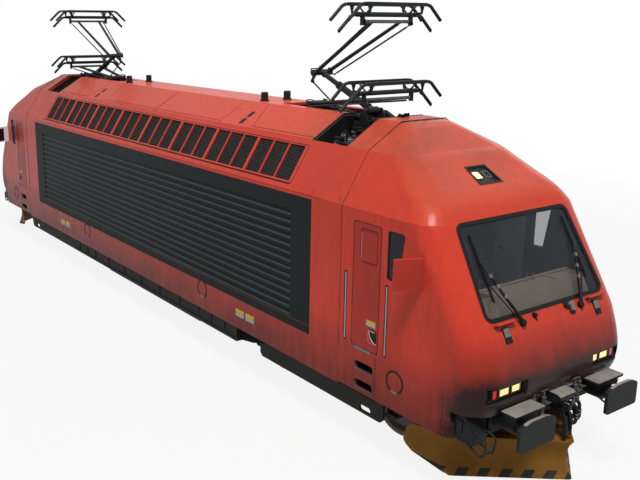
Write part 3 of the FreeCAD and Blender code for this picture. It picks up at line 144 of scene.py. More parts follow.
# %% [markdown]
# ## Node helpers
# A material in Blender is a graph. Writing each node and each wire by hand hides the idea, so
# small helpers do it. The first adds a node and wires or sets its inputs by name. The next ones
# are sums and masks in one word, and the last starts a material and ends it in its shader.

# %% Helpers that build node graphs
def add_node(tree, kind, settings=None, **inputs):
    """Adds a node; an input that is a socket is wired, anything else is set."""
    node = tree.nodes.new(kind)
    for key, value in (settings or {}).items():
        setattr(node, key, value)
    for key, value in inputs.items():
        name = key.replace("_", " ")
        socket = node.inputs[int(key[1:])] if key[0] == "i" and key[1:].isdigit() else node.inputs[name]
        if isinstance(value, bpy.types.NodeSocket):
            tree.links.new(value, socket)
        else:
            socket.default_value = value
    return node


def calc(tree, operation, a, b=0.0, clamp=False):
    """One Math node, and its result."""
    node = add_node(tree, "ShaderNodeMath", {"operation": operation, "use_clamp": clamp}, i0=a, i1=b)
    return node.outputs[0]


def times(tree, a, b, clamp=False):
    return calc(tree, "MULTIPLY", a, b, clamp)


def plus(tree, a, b, clamp=False):
    return calc(tree, "ADD", a, b, clamp)


def minus(tree, a, b):
    return calc(tree, "SUBTRACT", a, b)


def size_of(tree, value):
    """A value without its sign."""
    return calc(tree, "ABSOLUTE", value)


def all_of(tree, mask, *others):
    """1 where every mask is 1."""
    for other in others:
        mask = times(tree, mask, other)
    return mask


def ramp(tree, value, low, high, to_low=0.0, to_high=1.0):
    """Straight change of a value from one range to another, held at both ends."""
    node = add_node(tree, "ShaderNodeMapRange", {"clamp": True}, Value=value, From_Min=low, From_Max=high,
                    To_Min=to_low, To_Max=to_high)
    return node.outputs[0]


def above(tree, value, edge, softness=0.002):
    """1 where a value is above an edge, 0 below it."""
    return ramp(tree, value, edge - softness, edge + softness)


def below(tree, value, edge, softness=0.002):
    """1 where a value is below an edge, 0 above it."""
    return above(tree, times(tree, value, -1.0), -edge, softness)


def blend_colour(tree, share, a, b):
    """Mixes two colours by a share."""
    node = add_node(tree, "ShaderNodeMix", {"data_type": "RGBA", "clamp_factor": True})
    sockets = {s.identifier: s for s in node.inputs}
    for key, value in (("Factor_Float", share), ("A_Color", a), ("B_Color", b)):
        if isinstance(value, bpy.types.NodeSocket):
            tree.links.new(value, sockets[key])
        else:
            sockets[key].default_value = value
    return {s.identifier: s for s in node.outputs}["Result_Color"]


def coordinates(tree):
    return add_node(tree, "ShaderNodeTexCoord").outputs


def split(tree, vector):
    """The X, Y and Z of a vector."""
    return add_node(tree, "ShaderNodeSeparateXYZ", None, Vector=vector).outputs


def place_and_facing(tree):
    """Object place, the same as X, Y and Z, and the facing as X, Y and Z."""
    known = coordinates(tree)
    return known["Object"], split(tree, known["Object"]), split(tree, known["Normal"])


def place_of(tree):
    """Object place as X, Y and Z."""
    return split(tree, coordinates(tree)["Object"])


def noise(tree, place, scale, detail, **more):
    """Cloudy value round one half."""
    return add_node(tree, "ShaderNodeTexNoise", None, Vector=place, Scale=scale, Detail=detail,
                    **more).outputs[0]


def wave(tree, scale, settings, **inputs):
    """Value that swings in even bands."""
    return add_node(tree, "ShaderNodeTexWave", settings, Scale=scale, **inputs).outputs[0]


def rgb(red, green, blue):
    """Screen colour in the 0 to 255 scale, as linear light."""
    def linear(c):
        c /= 255.0
        return c / 12.92 if c <= 0.04045 else ((c + 0.055) / 1.055) ** 2.4
    return (linear(red), linear(green), linear(blue), 1.0)


def new_material(name):
    """An empty material; returns it and its tree."""
    material = bpy.data.materials.new(name)
    material.use_nodes = True
    material.node_tree.nodes.clear()
    return material, material.node_tree


def principled(tree, bump=None, bump_strength=0.3, bump_size=0.002, **inputs):
    """Principled shader wired to the output, with an optional height for its bump."""
    shader = add_node(tree, "ShaderNodeBsdfPrincipled", None, **inputs)
    if bump is not None:
        relief = add_node(tree, "ShaderNodeBump", None, Height=bump, Strength=bump_strength,
                          Distance=bump_size)
        tree.links.new(relief.outputs[0], shader.inputs["Normal"])
    add_node(tree, "ShaderNodeOutputMaterial", None, Surface=shader.outputs[0])

# %% [markdown]
# ## Two effects that many finishes share
# Outdoor machines age in the same few ways. Rain washes the sides in upright streaks, brake
# dust climbs from the track, and grit settles on whatever faces the sky. One group, the
# weather, turns a clean colour into a lived-in one from its place and its slope. A second
# group gives rough metal its mottled colour and grain. Both read object coordinates, so the
# pattern stays on the part when the part moves.

# %% The weather group
FLOAT, COLOUR = "NodeSocketFloat", "NodeSocketColor"


def start_group(name, inputs):
    """Empty shader node group for a finish; returns it with its two ends."""
    group = bpy.data.node_groups.new(name, "ShaderNodeTree")
    for label, kind, value in inputs:
        socket = group.interface.new_socket(name=label, in_out="INPUT", socket_type=kind)
        socket.default_value = value
    for label, kind in (("Colour", COLOUR), ("Roughness", FLOAT), ("Height", FLOAT)):
        group.interface.new_socket(name=label, in_out="OUTPUT", socket_type=kind)
    return group, group.nodes.new("NodeGroupInput").outputs, group.nodes.new("NodeGroupOutput").inputs


weather, given, made = start_group(
    "weather",
    (("Clean", COLOUR, rgb(200, 60, 45)), ("Dust", COLOUR, rgb(205, 120, 95)),
     ("Grime", COLOUR, rgb(60, 40, 34)), ("Dust Share", FLOAT, 0.35), ("Grime Share", FLOAT, 0.5),
     ("Grime Height", FLOAT, 1.5), ("Roughness", FLOAT, 0.4)))
place, spot, facing = place_and_facing(weather)
broad = noise(weather, place, 0.9, 5.0, Roughness=0.6)
fine = noise(weather, place, 38.0, 6.0, Roughness=0.65)
stretched = add_node(weather, "ShaderNodeMapping", None, Vector=place, Scale=(7.0, 7.0, 0.55)).outputs[0]
streaks = noise(weather, stretched, 1.6, 6.0, Roughness=0.6)
settled = all_of(weather, ramp(weather, facing["Z"], 0.45, 0.98), ramp(weather, broad, 0.32, 0.68, 0.45, 1.0),
                 ramp(weather, fine, 0.3, 0.7, 0.65, 1.0))
dust_share = times(weather, settled, given["Dust Share"], True)
low_down = calc(weather, "DIVIDE", minus(weather, given["Grime Height"], spot["Z"]), given["Grime Height"],
                True)
washed = times(weather, ramp(weather, streaks, 0.42, 0.72), 0.22)
grime_share = plus(weather, times(weather, low_down, ramp(weather, streaks, 0.3, 0.7, 0.5, 1.3)), washed)
grime_share = times(weather, grime_share, given["Grime Share"], True)
varied = blend_colour(weather, ramp(weather, broad, 0.35, 0.65, 0.0, 0.13), given["Clean"], given["Grime"])
dusty = blend_colour(weather, dust_share, varied, given["Dust"])
weather.links.new(blend_colour(weather, grime_share, dusty, given["Grime"]), made["Colour"])
rough = plus(weather, given["Roughness"], times(weather, dust_share, 0.35))
rough = plus(weather, rough, ramp(weather, fine, 0.3, 0.7, -0.05, 0.06))
weather.links.new(plus(weather, rough, times(weather, grime_share, 0.25), True), made["Roughness"])
weather.links.new(plus(weather, times(weather, fine, 0.35), broad), made["Height"])
print("weather group nodes:", len(weather.nodes))

# %% The cast metal group
casting, given, made = start_group(
    "casting",
    (("Base", COLOUR, rgb(45, 45, 46)), ("Stain", COLOUR, rgb(88, 66, 50)), ("Stain Share", FLOAT, 0.4),
     ("Grain", FLOAT, 120.0), ("Roughness", FLOAT, 0.6)))
place, _spot, facing = place_and_facing(casting)
blotch = noise(casting, place, 3.2, 7.0, Roughness=0.62)
grain = noise(casting, place, given["Grain"], 3.0, Roughness=0.6)
share = times(casting, ramp(casting, blotch, 0.38, 0.68), ramp(casting, facing["Z"], 0.2, 0.95, 0.55, 1.0))
share = times(casting, share, given["Stain Share"], True)
mottled = blend_colour(casting, ramp(casting, grain, 0.3, 0.7, 0.0, 0.25), given["Base"], rgb(20, 20, 21))
casting.links.new(blend_colour(casting, share, mottled, given["Stain"]), made["Colour"])
rough = plus(casting, given["Roughness"], ramp(casting, grain, 0.3, 0.7, -0.08, 0.1))
casting.links.new(plus(casting, rough, times(casting, share, 0.2), True), made["Roughness"])
casting.links.new(plus(casting, grain, times(casting, blotch, 0.8)), made["Height"])
print("casting group nodes:", len(casting.nodes))


def use_group(tree, group, **inputs):
    """Places a shared group in a material and returns its outputs."""
    return add_node(tree, "ShaderNodeGroup", {"node_tree": group}, **inputs).outputs

# %% [markdown]
# ## Masks for parts that carry two finishes
# Some parts are one solid but two colours: the cab shell is painted outside and lined with
# dark board inside, a lamp row holds two warm lamps and a red one. A mask worked out from the
# point's place or its facing splits them, and needs no change to the mesh.

# %% Mask helpers
SKIN_INSIDE = 1.490         # just inboard of the body's outer faces


def inside_of_cab(tree):
    """1 on faces that look towards the middle of their own cab."""
    known = coordinates(tree)
    along = split(tree, known["Object"])["X"]
    middle = add_node(tree, "ShaderNodeCombineXYZ", None, X=times(tree, calc(tree, "SIGN", along), 7.3), Y=0.0,
                      Z=2.6)
    outward = add_node(tree, "ShaderNodeVectorMath", {"operation": "SUBTRACT"}, i0=known["Object"],
                       i1=middle.outputs[0]).outputs[0]
    away = add_node(tree, "ShaderNodeVectorMath", {"operation": "DOT_PRODUCT"}, i0=outward,
                    i1=known["Normal"]).outputs["Value"]
    return times(tree, above(tree, size_of(tree, along), 5.0), below(tree, away, -0.25, 0.05))

# %% [markdown]
# ## Painted finishes
# The body is a warm signal red, duller and sandier on the roof where grit lies, and glossier
# on the sides. It is lacquer over steel, so it has a thin clear coat that catches the light as
# a soft streak on the rounded cab corner.

# %% Body paint, with the lined inside of the cab
RED, RED_DUST, GRIME = rgb(205, 61, 43), rgb(206, 92, 58), rgb(56, 27, 24)


def body_paint():
    """Body red: sooty by the pantographs, with painted shade low on the nose, darker towards the bottom, grey
    in the cab's reveals.
    """
    material, tree = new_material("body_red")
    finish = use_group(tree, weather, Clean=RED, Dust=RED_DUST, Grime=GRIME, Dust_Share=0.6,
                       Grime_Share=0.62, Grime_Height=1.75, Roughness=0.36)
    place, spot, facing = place_and_facing(tree)
    far, across, height = size_of(tree, spot["X"]), size_of(tree, spot["Y"]), spot["Z"]
    patches = noise(tree, place, 1.7, 6.0, Roughness=0.62)
    soot = all_of(tree, ramp(tree, facing["Z"], 0.35, 0.95), ramp(tree, patches, 0.35, 0.7, 0.1, 0.8),
                  ramp(tree, far, 4.4, 5.4), ramp(tree, far, 8.3, 7.1))
    # Painted shade: the nose is darkened below its lamps and under the windscreen, where it tilts down away
    # from the light, and the whole body is darkened towards the bottom.
    low = times(tree, ramp(tree, height, 2.15, 1.32, 0.0, 0.95), ramp(tree, far, 8.2, 8.72))
    shade = times(tree, ramp(tree, height, 2.7, 1.5, 0.0, 0.32), ramp(tree, far, 7.9, 8.5))
    low = plus(tree, plus(tree, low, shade), ramp(tree, height, 1.75, 0.9, 0.0, 0.62))
    low = times(tree, low, ramp(tree, patches, 0.3, 0.65, 0.7, 1.1), True)
    reveal = all_of(tree, below(tree, across, SKIN_INSIDE), below(tree, size_of(tree, facing["Y"]), 0.2, 0.05),
                    above(tree, across, 1.430), above(tree, far, 6.50), below(tree, far, 7.72),
                    above(tree, height, 1.50))
    colour = blend_colour(tree, soot, finish["Colour"], rgb(128, 64, 46))
    # The painted shade on the nose and the darkening towards the bottom are mixed in here.
    colour = blend_colour(tree, low, colour, rgb(44, 22, 20))
    colour = blend_colour(tree, calc(tree, "MAXIMUM", inside_of_cab(tree), reveal), colour, rgb(84, 88, 94))
    principled(tree, finish["Height"], 0.12, 0.003, Base_Color=colour, Roughness=finish["Roughness"],
               Specular_IOR_Level=0.12, Coat_Weight=0.2, Coat_Roughness=0.12, Coat_IOR=1.3)
    return material


def plain_paint(name, clean, dust, grime, dust_share, grime_share, height, roughness, coat=0.0, lined=False):
    """Paint that weathers; a lined one is pale on what faces into the cab."""
    material, tree = new_material(name)
    finish = use_group(tree, weather, Clean=clean, Dust=dust, Grime=grime, Dust_Share=dust_share,
                       Grime_Share=grime_share, Grime_Height=height, Roughness=roughness)
    colour = finish["Colour"]
    if lined:
        spot = place_of(tree)
        behind = times(tree, below(tree, size_of(tree, spot["Y"]), SKIN_INSIDE),
                       below(tree, size_of(tree, spot["X"]), 7.3))
        colour = blend_colour(tree, calc(tree, "MAXIMUM", inside_of_cab(tree), behind), colour,
                              rgb(226, 236, 242))
    principled(tree, finish["Height"], 0.15, 0.002, Base_Color=colour, Roughness=finish["Roughness"],
               Specular_IOR_Level=0.12, Coat_Weight=coat, Coat_Roughness=0.2)
    return material


def panel_paint():
    """Dark grey paint with the weather's dust; every bead's upward face is painted lighter as a highlight, its
    downward face darker as shade.
    """
    material, tree = new_material("panel_dark")
    finish = use_group(tree, weather, Clean=rgb(33, 39, 40), Dust=rgb(56, 59, 57), Grime=rgb(22, 24, 24),
                       Dust_Share=0.3, Grime_Share=0.5, Grime_Height=2.2, Roughness=0.46)
    lean = split(tree, coordinates(tree)["Normal"])["Z"]
    # Painted highlight on the upward faces of the beads, painted shade on the downward ones.
    colour = blend_colour(tree, ramp(tree, lean, 0.05, 0.45), finish["Colour"], rgb(58, 64, 65))
    colour = blend_colour(tree, ramp(tree, lean, -0.05, -0.45), colour, rgb(14, 16, 17))
    principled(tree, finish["Height"], 0.15, 0.002, Base_Color=colour, Roughness=finish["Roughness"],
               Specular_IOR_Level=0.05)
    return material


body_red = body_paint()
# door_red is the doors' own darker red; on the mirror housings and under the wiper hubs it serves as painted
# shade and shadow.
door_red = plain_paint("door_red", rgb(172, 50, 38), RED_DUST, GRIME, 0.4, 0.5, 1.75, 0.4, 0.1, True)
panel_dark = panel_paint()
equipment_black = plain_paint("equipment_black", rgb(31, 33, 35), rgb(62, 60, 56), rgb(20, 20, 19),
                              0.5, 0.4, 1.2, 0.5)
print("painted finishes:", [m.name for m in bpy.data.materials])

# %% [markdown]
# ## Metal, rubber and cast finishes
# Below the floor nothing is bright. Brake dust turns everything the same warm brown-black,
# except where steel rubs on steel: the wheel treads are polished, and the wheel's rim shows
# the file marks of the lathe.

# %% Cast and rolled metal
def cast_metal(name, base, stain, share, grain, roughness, metal=0.0, size=0.0015):
    """Metal with a mottled colour and a fine grain."""
    material, tree = new_material(name)
    finish = use_group(tree, casting, Base=base, Stain=stain, Stain_Share=share, Grain=grain,
                       Roughness=roughness)
    principled(tree, finish["Height"], 0.3, size, Base_Color=finish["Colour"], Roughness=finish["Roughness"],
               Metallic=metal, Specular_IOR_Level=0.16)
    return material


steel_dark = cast_metal("steel_dark", rgb(34, 35, 35), rgb(62, 53, 45), 0.45, 90.0, 0.66)
arm_grey = cast_metal("arm_grey", rgb(36, 39, 40), rgb(64, 61, 56), 0.4, 150.0, 0.48)
well_black = cast_metal("well_black", rgb(20, 21, 22), rgb(44, 42, 38), 0.4, 60.0, 0.62)
rail_steel = cast_metal("rail_steel", rgb(150, 152, 154), rgb(110, 106, 100), 0.3, 200.0, 0.34, 0.85, 0.0006)
cock_grey = cast_metal("cock_grey", rgb(92, 93, 92), rgb(58, 54, 48), 0.5, 120.0, 0.5, 0.3)
zinc_grey = cast_metal("zinc_grey", rgb(122, 122, 120), rgb(96, 88, 78), 0.45, 140.0, 0.5, 0.3)
rubber_black = cast_metal("rubber_black", rgb(15, 15, 16), rgb(36, 34, 32), 0.3, 220.0, 0.6)
screw_red = cast_metal("screw_red", rgb(176, 46, 36), rgb(120, 44, 34), 0.5, 200.0, 0.45)
copper_braid = cast_metal("copper_braid", rgb(84, 66, 54), rgb(52, 50, 46), 0.6, 400.0, 0.5, 0.4, 0.001)

# %% Wheels, with their polished treads
def wheel_finish():
    """Rusty cast wheels with bright treads, and the lathe's marks as fine rings."""
    material, tree = new_material("wheel_steel")
    finish = use_group(tree, casting, Base=rgb(74, 68, 64), Stain=rgb(94, 66, 48), Stain_Share=0.6, Grain=70.0,
                       Roughness=0.6)
    spot = place_of(tree)
    from_bogie = size_of(tree, minus(tree, size_of(tree, spot["X"]), BOGIE))
    off = size_of(tree, minus(tree, from_bogie, HALF_BASE))
    rise = minus(tree, spot["Z"], WHEEL + RAIL)
    reach = calc(tree, "SQRT", plus(tree, times(tree, off, off), times(tree, rise, rise)))
    tread = times(tree, above(tree, reach, WHEEL - 0.012, 0.004),
                  above(tree, size_of(tree, spot["Y"]), 0.70, 0.01))
    turning = wave(tree, 14.0, {"wave_type": "RINGS", "rings_direction": "Y"}, Distortion=0.6, Detail=2.0)
    principled(tree, plus(tree, finish["Height"], times(tree, turning, 0.2)), 0.25, 0.0015,
               Base_Color=blend_colour(tree, tread, finish["Colour"], rgb(168, 164, 160)),
               Roughness=calc(tree, "SUBTRACT", finish["Roughness"], times(tree, tread, 0.32), True),
               Metallic=plus(tree, times(tree, tread, 0.6), 0.35))
    return material


wheel_steel = wheel_finish()
print("metals ready")

# %% [markdown]
# ## Parts that carry two colours
# The buffers have dark heads under pale non-slip plates, the plough is ochre with dark
# chevrons along its lip, and the socket case has a bare metal lid.

# %% Buffers, draw gear and plough
def two_finishes(name, dark, dark_stain, pale, pale_stain, mask, roughness=0.55):
    """Cast finish that changes from one colour to another by a mask."""
    material, tree = new_material(name)
    one = use_group(tree, casting, Base=dark, Stain=dark_stain, Stain_Share=0.5, Grain=110.0,
                    Roughness=roughness)
    two = use_group(tree, casting, Base=pale, Stain=pale_stain, Stain_Share=0.6, Grain=160.0)
    principled(tree, one["Height"], 0.25, 0.0015,
               Base_Color=blend_colour(tree, mask(tree), one["Colour"], two["Colour"]),
               Roughness=one["Roughness"], Specular_IOR_Level=0.16)
    return material


def on_tread(tree):
    """The top faces of the plates over the buffers."""
    _place, spot, facing = place_and_facing(tree)
    return times(tree, above(tree, spot["Z"], 1.262), above(tree, facing["Z"], 0.4, 0.1))


def on_chevrons(tree):
    """Slanting bars along the lower lip of the plough."""
    spot = place_of(tree)
    lean = plus(tree, size_of(tree, spot["Y"]), times(tree, spot["Z"], 0.9))
    bars = above(tree, calc(tree, "FRACT", calc(tree, "DIVIDE", lean, 0.22)), 0.50, 0.01)
    return times(tree, bars, below(tree, spot["Z"], 0.255, 0.004))


buffer_finish = two_finishes("buffer_finish", rgb(27, 29, 30), rgb(46, 43, 39), rgb(150, 145, 135),
                             rgb(92, 84, 74), on_tread)
plough_finish = two_finishes("plough_finish", rgb(136, 92, 28), rgb(58, 41, 24), rgb(30, 31, 31),
                             rgb(70, 52, 34), on_chevrons, 0.62)

# %% [markdown]
# ## Glass, lamps and insulators
# Old railway glass is thick and a little green-grey. A pane that is part clear lets the cab be
# seen, and lets light into it, as a real one does. The lamps are frosted and warm.

# %% Glass and lamp finishes
def pane(name, tint, alpha):
    """Part clear glass with a few smears."""
    material, tree = new_material(name)
    smear = noise(tree, coordinates(tree)["Object"], 5.0, 4.0)
    clear = blend_colour(tree, ramp(tree, smear, 0.5, 0.8, 0.0, 0.08), tint, rgb(150, 140, 126))
    principled(tree, None, Base_Color=clear, Roughness=ramp(tree, smear, 0.3, 0.7, 0.04, 0.09),
               Transmission_Weight=0.0, IOR=1.45, Alpha=alpha)
    return material


glass_tint = pane("glass_tint", rgb(62, 69, 75), 0.2)
side_glass = pane("side_glass", rgb(34, 40, 47), 0.3)


def lens_finish():
    """Warm lamps, a red tail lamp at the outer end, and the clear cover of the top lamps."""
    material, tree = new_material("lens_finish")
    spot = place_of(tree)
    low = below(tree, spot["Z"], 2.5)
    red = times(tree, low, above(tree, size_of(tree, spot["Y"]), 1.14))
    ribs = wave(tree, 26.0, {"bands_direction": "Y"}, Vector=coordinates(tree)["Object"])
    glow = blend_colour(tree, ribs, rgb(255, 226, 158), rgb(238, 190, 112))
    tail = blend_colour(tree, ribs, rgb(226, 40, 28), rgb(150, 16, 14))
    slope = plus(tree, times(tree, size_of(tree, spot["X"]), -0.6), 3.765 + 7.605 * 0.6)
    cover = times(tree, above(tree, spot["Z"], 3.0), below(tree, minus(tree, slope, spot["Z"]), 0.026))
    colour = blend_colour(tree, cover, blend_colour(tree, red, glow, tail), rgb(40, 44, 46))
    lit = blend_colour(tree, ramp(tree, low, 0.0, 1.0, 0.35, 1.0), rgb(60, 52, 40), colour)
    principled(tree, ribs, 0.35, 0.002, Base_Color=colour, Roughness=ramp(tree, ribs, 0.0, 1.0, 0.18, 0.3),
               Emission_Color=blend_colour(tree, cover, lit, (0, 0, 0, 1)), Emission_Strength=0.75,
               Coat_Weight=0.5, Coat_Roughness=0.05, Alpha=ramp(tree, cover, 0.0, 1.0, 1.0, 0.1))
    return material


lamp_glass = lens_finish()
porcelain = plain_paint("porcelain", rgb(128, 130, 132), rgb(108, 102, 94), rgb(70, 66, 60), 0.6, 0.2, 1.0,
                        0.28, 0.5)
print("glass ready")

# %% [markdown]
# ## Finishes inside the cab
# The desk is moulded in beige-grey plastic with a fine leather grain, and the rear wall is
# grey board with a paler door in it.

# %% Desk and rear wall
def moulded(name, base, second, mask):
    """Grained plastic, with a second colour where a mask says."""
    material, tree = new_material(name)
    place = coordinates(tree)["Object"]
    pits = add_node(tree, "ShaderNodeTexVoronoi", {"feature": "DISTANCE_TO_EDGE"}, Vector=place,
                    Scale=420.0).outputs[0]
    cloud = noise(tree, place, 2.5, 4.0)
    shaded = blend_colour(tree, ramp(tree, cloud, 0.3, 0.7, 0.0, 0.2), base, rgb(60, 56, 50))
    principled(tree, pits, 0.3, 0.0006, Base_Color=blend_colour(tree, mask(tree), shaded, second),
               Roughness=ramp(tree, cloud, 0.3, 0.7, 0.56, 0.70))
    return material


def under_desk(tree):
    """What faces down on the desk."""
    return below(tree, split(tree, coordinates(tree)["Normal"])["Z"], 0.0, 0.05)


def wall_door(tree):
    """A door in the middle of the rear wall."""
    spot = place_of(tree)
    return times(tree, below(tree, size_of(tree, spot["Y"]), 0.36, 0.003), below(tree, spot["Z"], 3.52, 0.003))


desk_beige = moulded("desk_beige", rgb(138, 122, 104), rgb(92, 84, 76), under_desk)
wall_board = moulded("wall_board", rgb(96, 99, 104), rgb(104, 110, 116), wall_door)

# %% [markdown]
# ## Dress the frame
# Every part of the frame gets its finish from one table. Parts on the bogies and arms are
# picked by the words in their names.

# %% Give each part its finish
FINISH = {
    "cab_shells": body_red, "cab_skirts": body_red, "roof_end_panels": body_red, "side_walls": body_red,
    # The mirror housings take the darker door red as painted shade.
    "roof_edges": body_red, "roof_hatches": body_red, "mirrors": door_red, "nose_ledges": body_red,
    "side_panels": panel_dark, "roof_grilles": well_black, "pantograph_wells": well_black,
    "windscreens": glass_tint, "side_windows": side_glass, "window_seals": rubber_black,
    "cab_bulkheads": wall_board, "driver_desks": desk_beige, "driver_seats": rubber_black,
    "lamp_housings": equipment_black, "lamp_lenses": lamp_glass, "handrails": rail_steel,
    "cab_steps": equipment_black, "wipers": equipment_black, "roof_insulators": porcelain,
    "pantograph_bases": arm_grey, "roof_cylinders": equipment_black, "folded_pantographs": arm_grey,
    "underframe": steel_dark, "solebars": steel_dark, "underfloor_cases": steel_dark,
    "buffer_beams": steel_dark, "buffers": buffer_finish, "draw_gear": buffer_finish,
    "brake_hoses": rubber_black, "snow_ploughs": plough_finish,
}


def finish_for(name):
    """Finish of one part of the frame."""
    if name in FINISH:
        return FINISH[name]
    if name.endswith("_door"):
        return door_red
    if name.startswith("wheelset"):
        return wheel_steel
    if "bogie" in name:
        return steel_dark
    return arm_grey


for name, part in frame["nodes"].items():
    part.data.materials.clear()
    part.data.materials.append(finish_for(name))
print("dressed", len(frame["nodes"]), "parts")

# %% [markdown]
# ## A small kit for building pieces
# Most trim on a locomotive is plate, bar and turned work: a shape cut from sheet, a bar bent
# along a line, or a profile spun in a lathe. Four helpers cover these. Each works in a
# placement, a matrix whose third axis points out of the surface that the piece sits on, so the
# same call works on the upright side, on the sloping roof and on the raked windscreen.

# %% Placements on the body's surfaces
def plane(origin, along, upward):
    """Placement with two axes in a surface and the third one out of it."""
    u = Vector(along).normalized()
    n = u.cross(Vector(upward)).normalized()
    axes = (u, n.cross(u), n, Vector(origin))
    return Matrix([[axis[row] for axis in axes] for row in range(3)] + [[0, 0, 0, 1]])


def moved(place, a=0.0, b=0.0, c=0.0):
    """The same placement, shifted along its own axes."""
    return place @ Matrix.Translation((a, b, c))


def side_at(across):
    """Upright placement on the right-hand side, at a distance from the middle."""
    return plane((0, -across, RAIL), (1, 0, 0), (0, 0, 1))


def both_sides(place):
    """A right-hand placement, and the same one on the left of the same end."""
    return place, Matrix.Diagonal((1, -1, 1, 1)) @ place


HALF_TURN = {1: Matrix.Identity(4), -1: Matrix.Rotation(math.pi, 4, "Z")}
END_NAME = {1: "front", -1: "rear"}
TURNS = tuple(HALF_TURN[end] for end in ENDS)
SIDE_FACE = side_at(HALF_WIDTH)
LOW_SLOPE = plane((0, -HALF_WIDTH, EAVES + RAIL), (1, 0, 0),
                  (0, HALF_WIDTH - SHOULDER_HALF, SHOULDER - EAVES))
HIGH_SLOPE = plane((0, -SHOULDER_HALF, SHOULDER + RAIL), (1, 0, 0),
                   (0, SHOULDER_HALF - CROWN_HALF, CROWN - SHOULDER))
SCREEN = plane((SCREEN_FOOT[0], 0, SCREEN_FOOT[1] + RAIL), (0, 1, 0),
               (SCREEN_HEAD[0] - SCREEN_FOOT[0], 0, SCREEN_HEAD[1] - SCREEN_FOOT[1]))
NOSE = plane((8.780, 0, 2.040 + RAIL), (0, 1, 0), (-0.075, 0, 0.150))
print("surfaces ready, screen normal", [round(v, 2) for v in SCREEN.col[2][:3]])

# %% Plates, rims, bars and turned work
def new_meshes(count):
    return [bmesh.new() for _k in range(count)]


def rectangle(a0, a1, b0, b1):
    return [(a0, b0), (a1, b0), (a1, b1), (a0, b1)]


def rounded(corners, radius, steps=4):
    """Outline with each corner rounded."""
    points = []
    for i, corner in enumerate(corners):
        here, before, after = Vector(corner), Vector(corners[i - 1]), Vector(corners[(i + 1) % len(corners)])
        one, two = (before - here).normalized(), (after - here).normalized()
        reach = radius / math.tan(one.angle(two) / 2)
        for s in range(steps + 1):
            t = s / steps
            points.append((1 - t) ** 2 * (here + one * reach) + 2 * t * (1 - t) * here
                          + t * t * (here + two * reach))
    return [tuple(p) for p in points]


def soft_box(a0, a1, b0, b1, radius, steps=4):
    """Rectangle with rounded corners."""
    return rounded(rectangle(a0, a1, b0, b1), radius, steps)


def bridge(bm, lower, upper):
    """Faces between two rings of the same count, or between a ring and a point."""
    count = max(len(lower), len(upper))
    for k in range(count):
        n = (k + 1) % count
        if len(lower) == 1:
            bm.faces.new((lower[0], upper[n], upper[k]))
        elif len(upper) == 1:
            bm.faces.new((lower[k], lower[n], upper[0]))
        else:
            bm.faces.new((lower[k], lower[n], upper[n], upper[k]))


def add_plate(bm, place, corners, low, high):
    """Plate of an outline, from one depth to another."""
    rings = [[bm.verts.new(place @ Vector((a, b, depth))) for a, b in corners] for depth in (low, high)]
    bm.faces.new(rings[0][::-1])
    bm.faces.new(rings[1])
    bridge(bm, *rings)


def add_rim(bm, place, outer, inner, low, high):
    """Flat ring between two outlines of the same count."""
    loops = [[bm.verts.new(place @ Vector((a, b, depth))) for a, b in corners]
             for corners, depth in ((outer, low), (outer, high), (inner, high), (inner, low))]
    for i in range(4):
        bridge(bm, loops[i], loops[(i + 1) % 4])


def add_turned(bm, place, profile, sides=16, closed=False):
    """Turned piece: radius and height pairs, spun round the placement's third axis."""
    rings = []
    for radius, height in profile:
        angles = [2 * math.pi * k / sides for k in range(sides)] if radius > 0 else [0.0]
        rings.append([bm.verts.new(place @ Vector((radius * math.cos(a), radius * math.sin(a), height)))
                      for a in angles])
    for lower, upper in zip(rings, rings[1:] + (rings[:1] if closed else [])):
        if len(lower) > 1 or len(upper) > 1:
            bridge(bm, lower, upper)


def add_bar(bm, points, radius, sides=10, taper=1.0):
    """Round bar along a line of points, thinning evenly to its far end."""
    points = [Vector(p) for p in points]
    rings = []
    side = None
    for i, point in enumerate(points):
        run = (points[min(i + 1, len(points) - 1)] - points[max(i - 1, 0)]).normalized()
        start = side if side is not None else Vector((0.31, 0.17, 0.93))
        side = (start - run * start.dot(run)).normalized()
        other = run.cross(side)
        size = radius * (1 + (taper - 1) * i / (len(points) - 1))
        rings.append([bm.verts.new(point + (side * math.cos(a) + other * math.sin(a)) * size)
                      for a in (2 * math.pi * k / sides for k in range(sides))])
    bm.faces.new(rings[0][::-1])
    bm.faces.new(rings[-1])
    for lower, upper in zip(rings, rings[1:]):
        bridge(bm, lower, upper)


def curve_through(points, steps=6):
    """Smooth line through a few points."""
    points = [Vector(p) for p in points]
    padded = [points[0] * 2 - points[1]] + points + [points[-1] * 2 - points[-2]]
    line = []
    for a, b, c, d in zip(padded, padded[1:], padded[2:], padded[3:]):
        for s in range(steps):
            t = s / steps
            line.append(0.5 * (2 * b + (c - a) * t + (2 * a - 5 * b + 4 * c - d) * t * t
                               + (3 * b - a - 3 * c + d) * t ** 3))
    return line + [points[-1]]

# %% Turn finished geometry into a piece
CREASE = math.radians(38)       # edges sharper than this stay sharp


def keep(name, mesh, material, body="carbody"):
    """Makes a mesh a piece that rides on a body."""
    mesh.materials.clear()
    mesh.materials.append(material)
    piece = bpy.data.objects.new(name, mesh)
    bpy.context.scene.collection.objects.link(piece)
    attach(piece, body)
    return piece


def finished(name, bm, material, body="carbody", soften=0.0):
    """Closes a bmesh into a piece, with its hard edges eased where asked."""
    if soften:
        hard = [e for e in bm.edges if len(e.link_faces) == 2 and e.calc_face_angle(0) > math.radians(50)]
        bmesh.ops.bevel(bm, geom=hard, offset=soften, segments=1, affect="EDGES", clamp_overlap=True)
    bmesh.ops.recalc_face_normals(bm, faces=bm.faces)
    mesh = bpy.data.meshes.new(name)
    bm.to_mesh(mesh)
    bm.free()
    mesh.shade_smooth()
    mesh.set_sharp_from_angle(angle=CREASE)
    return keep(name, mesh, material, body)

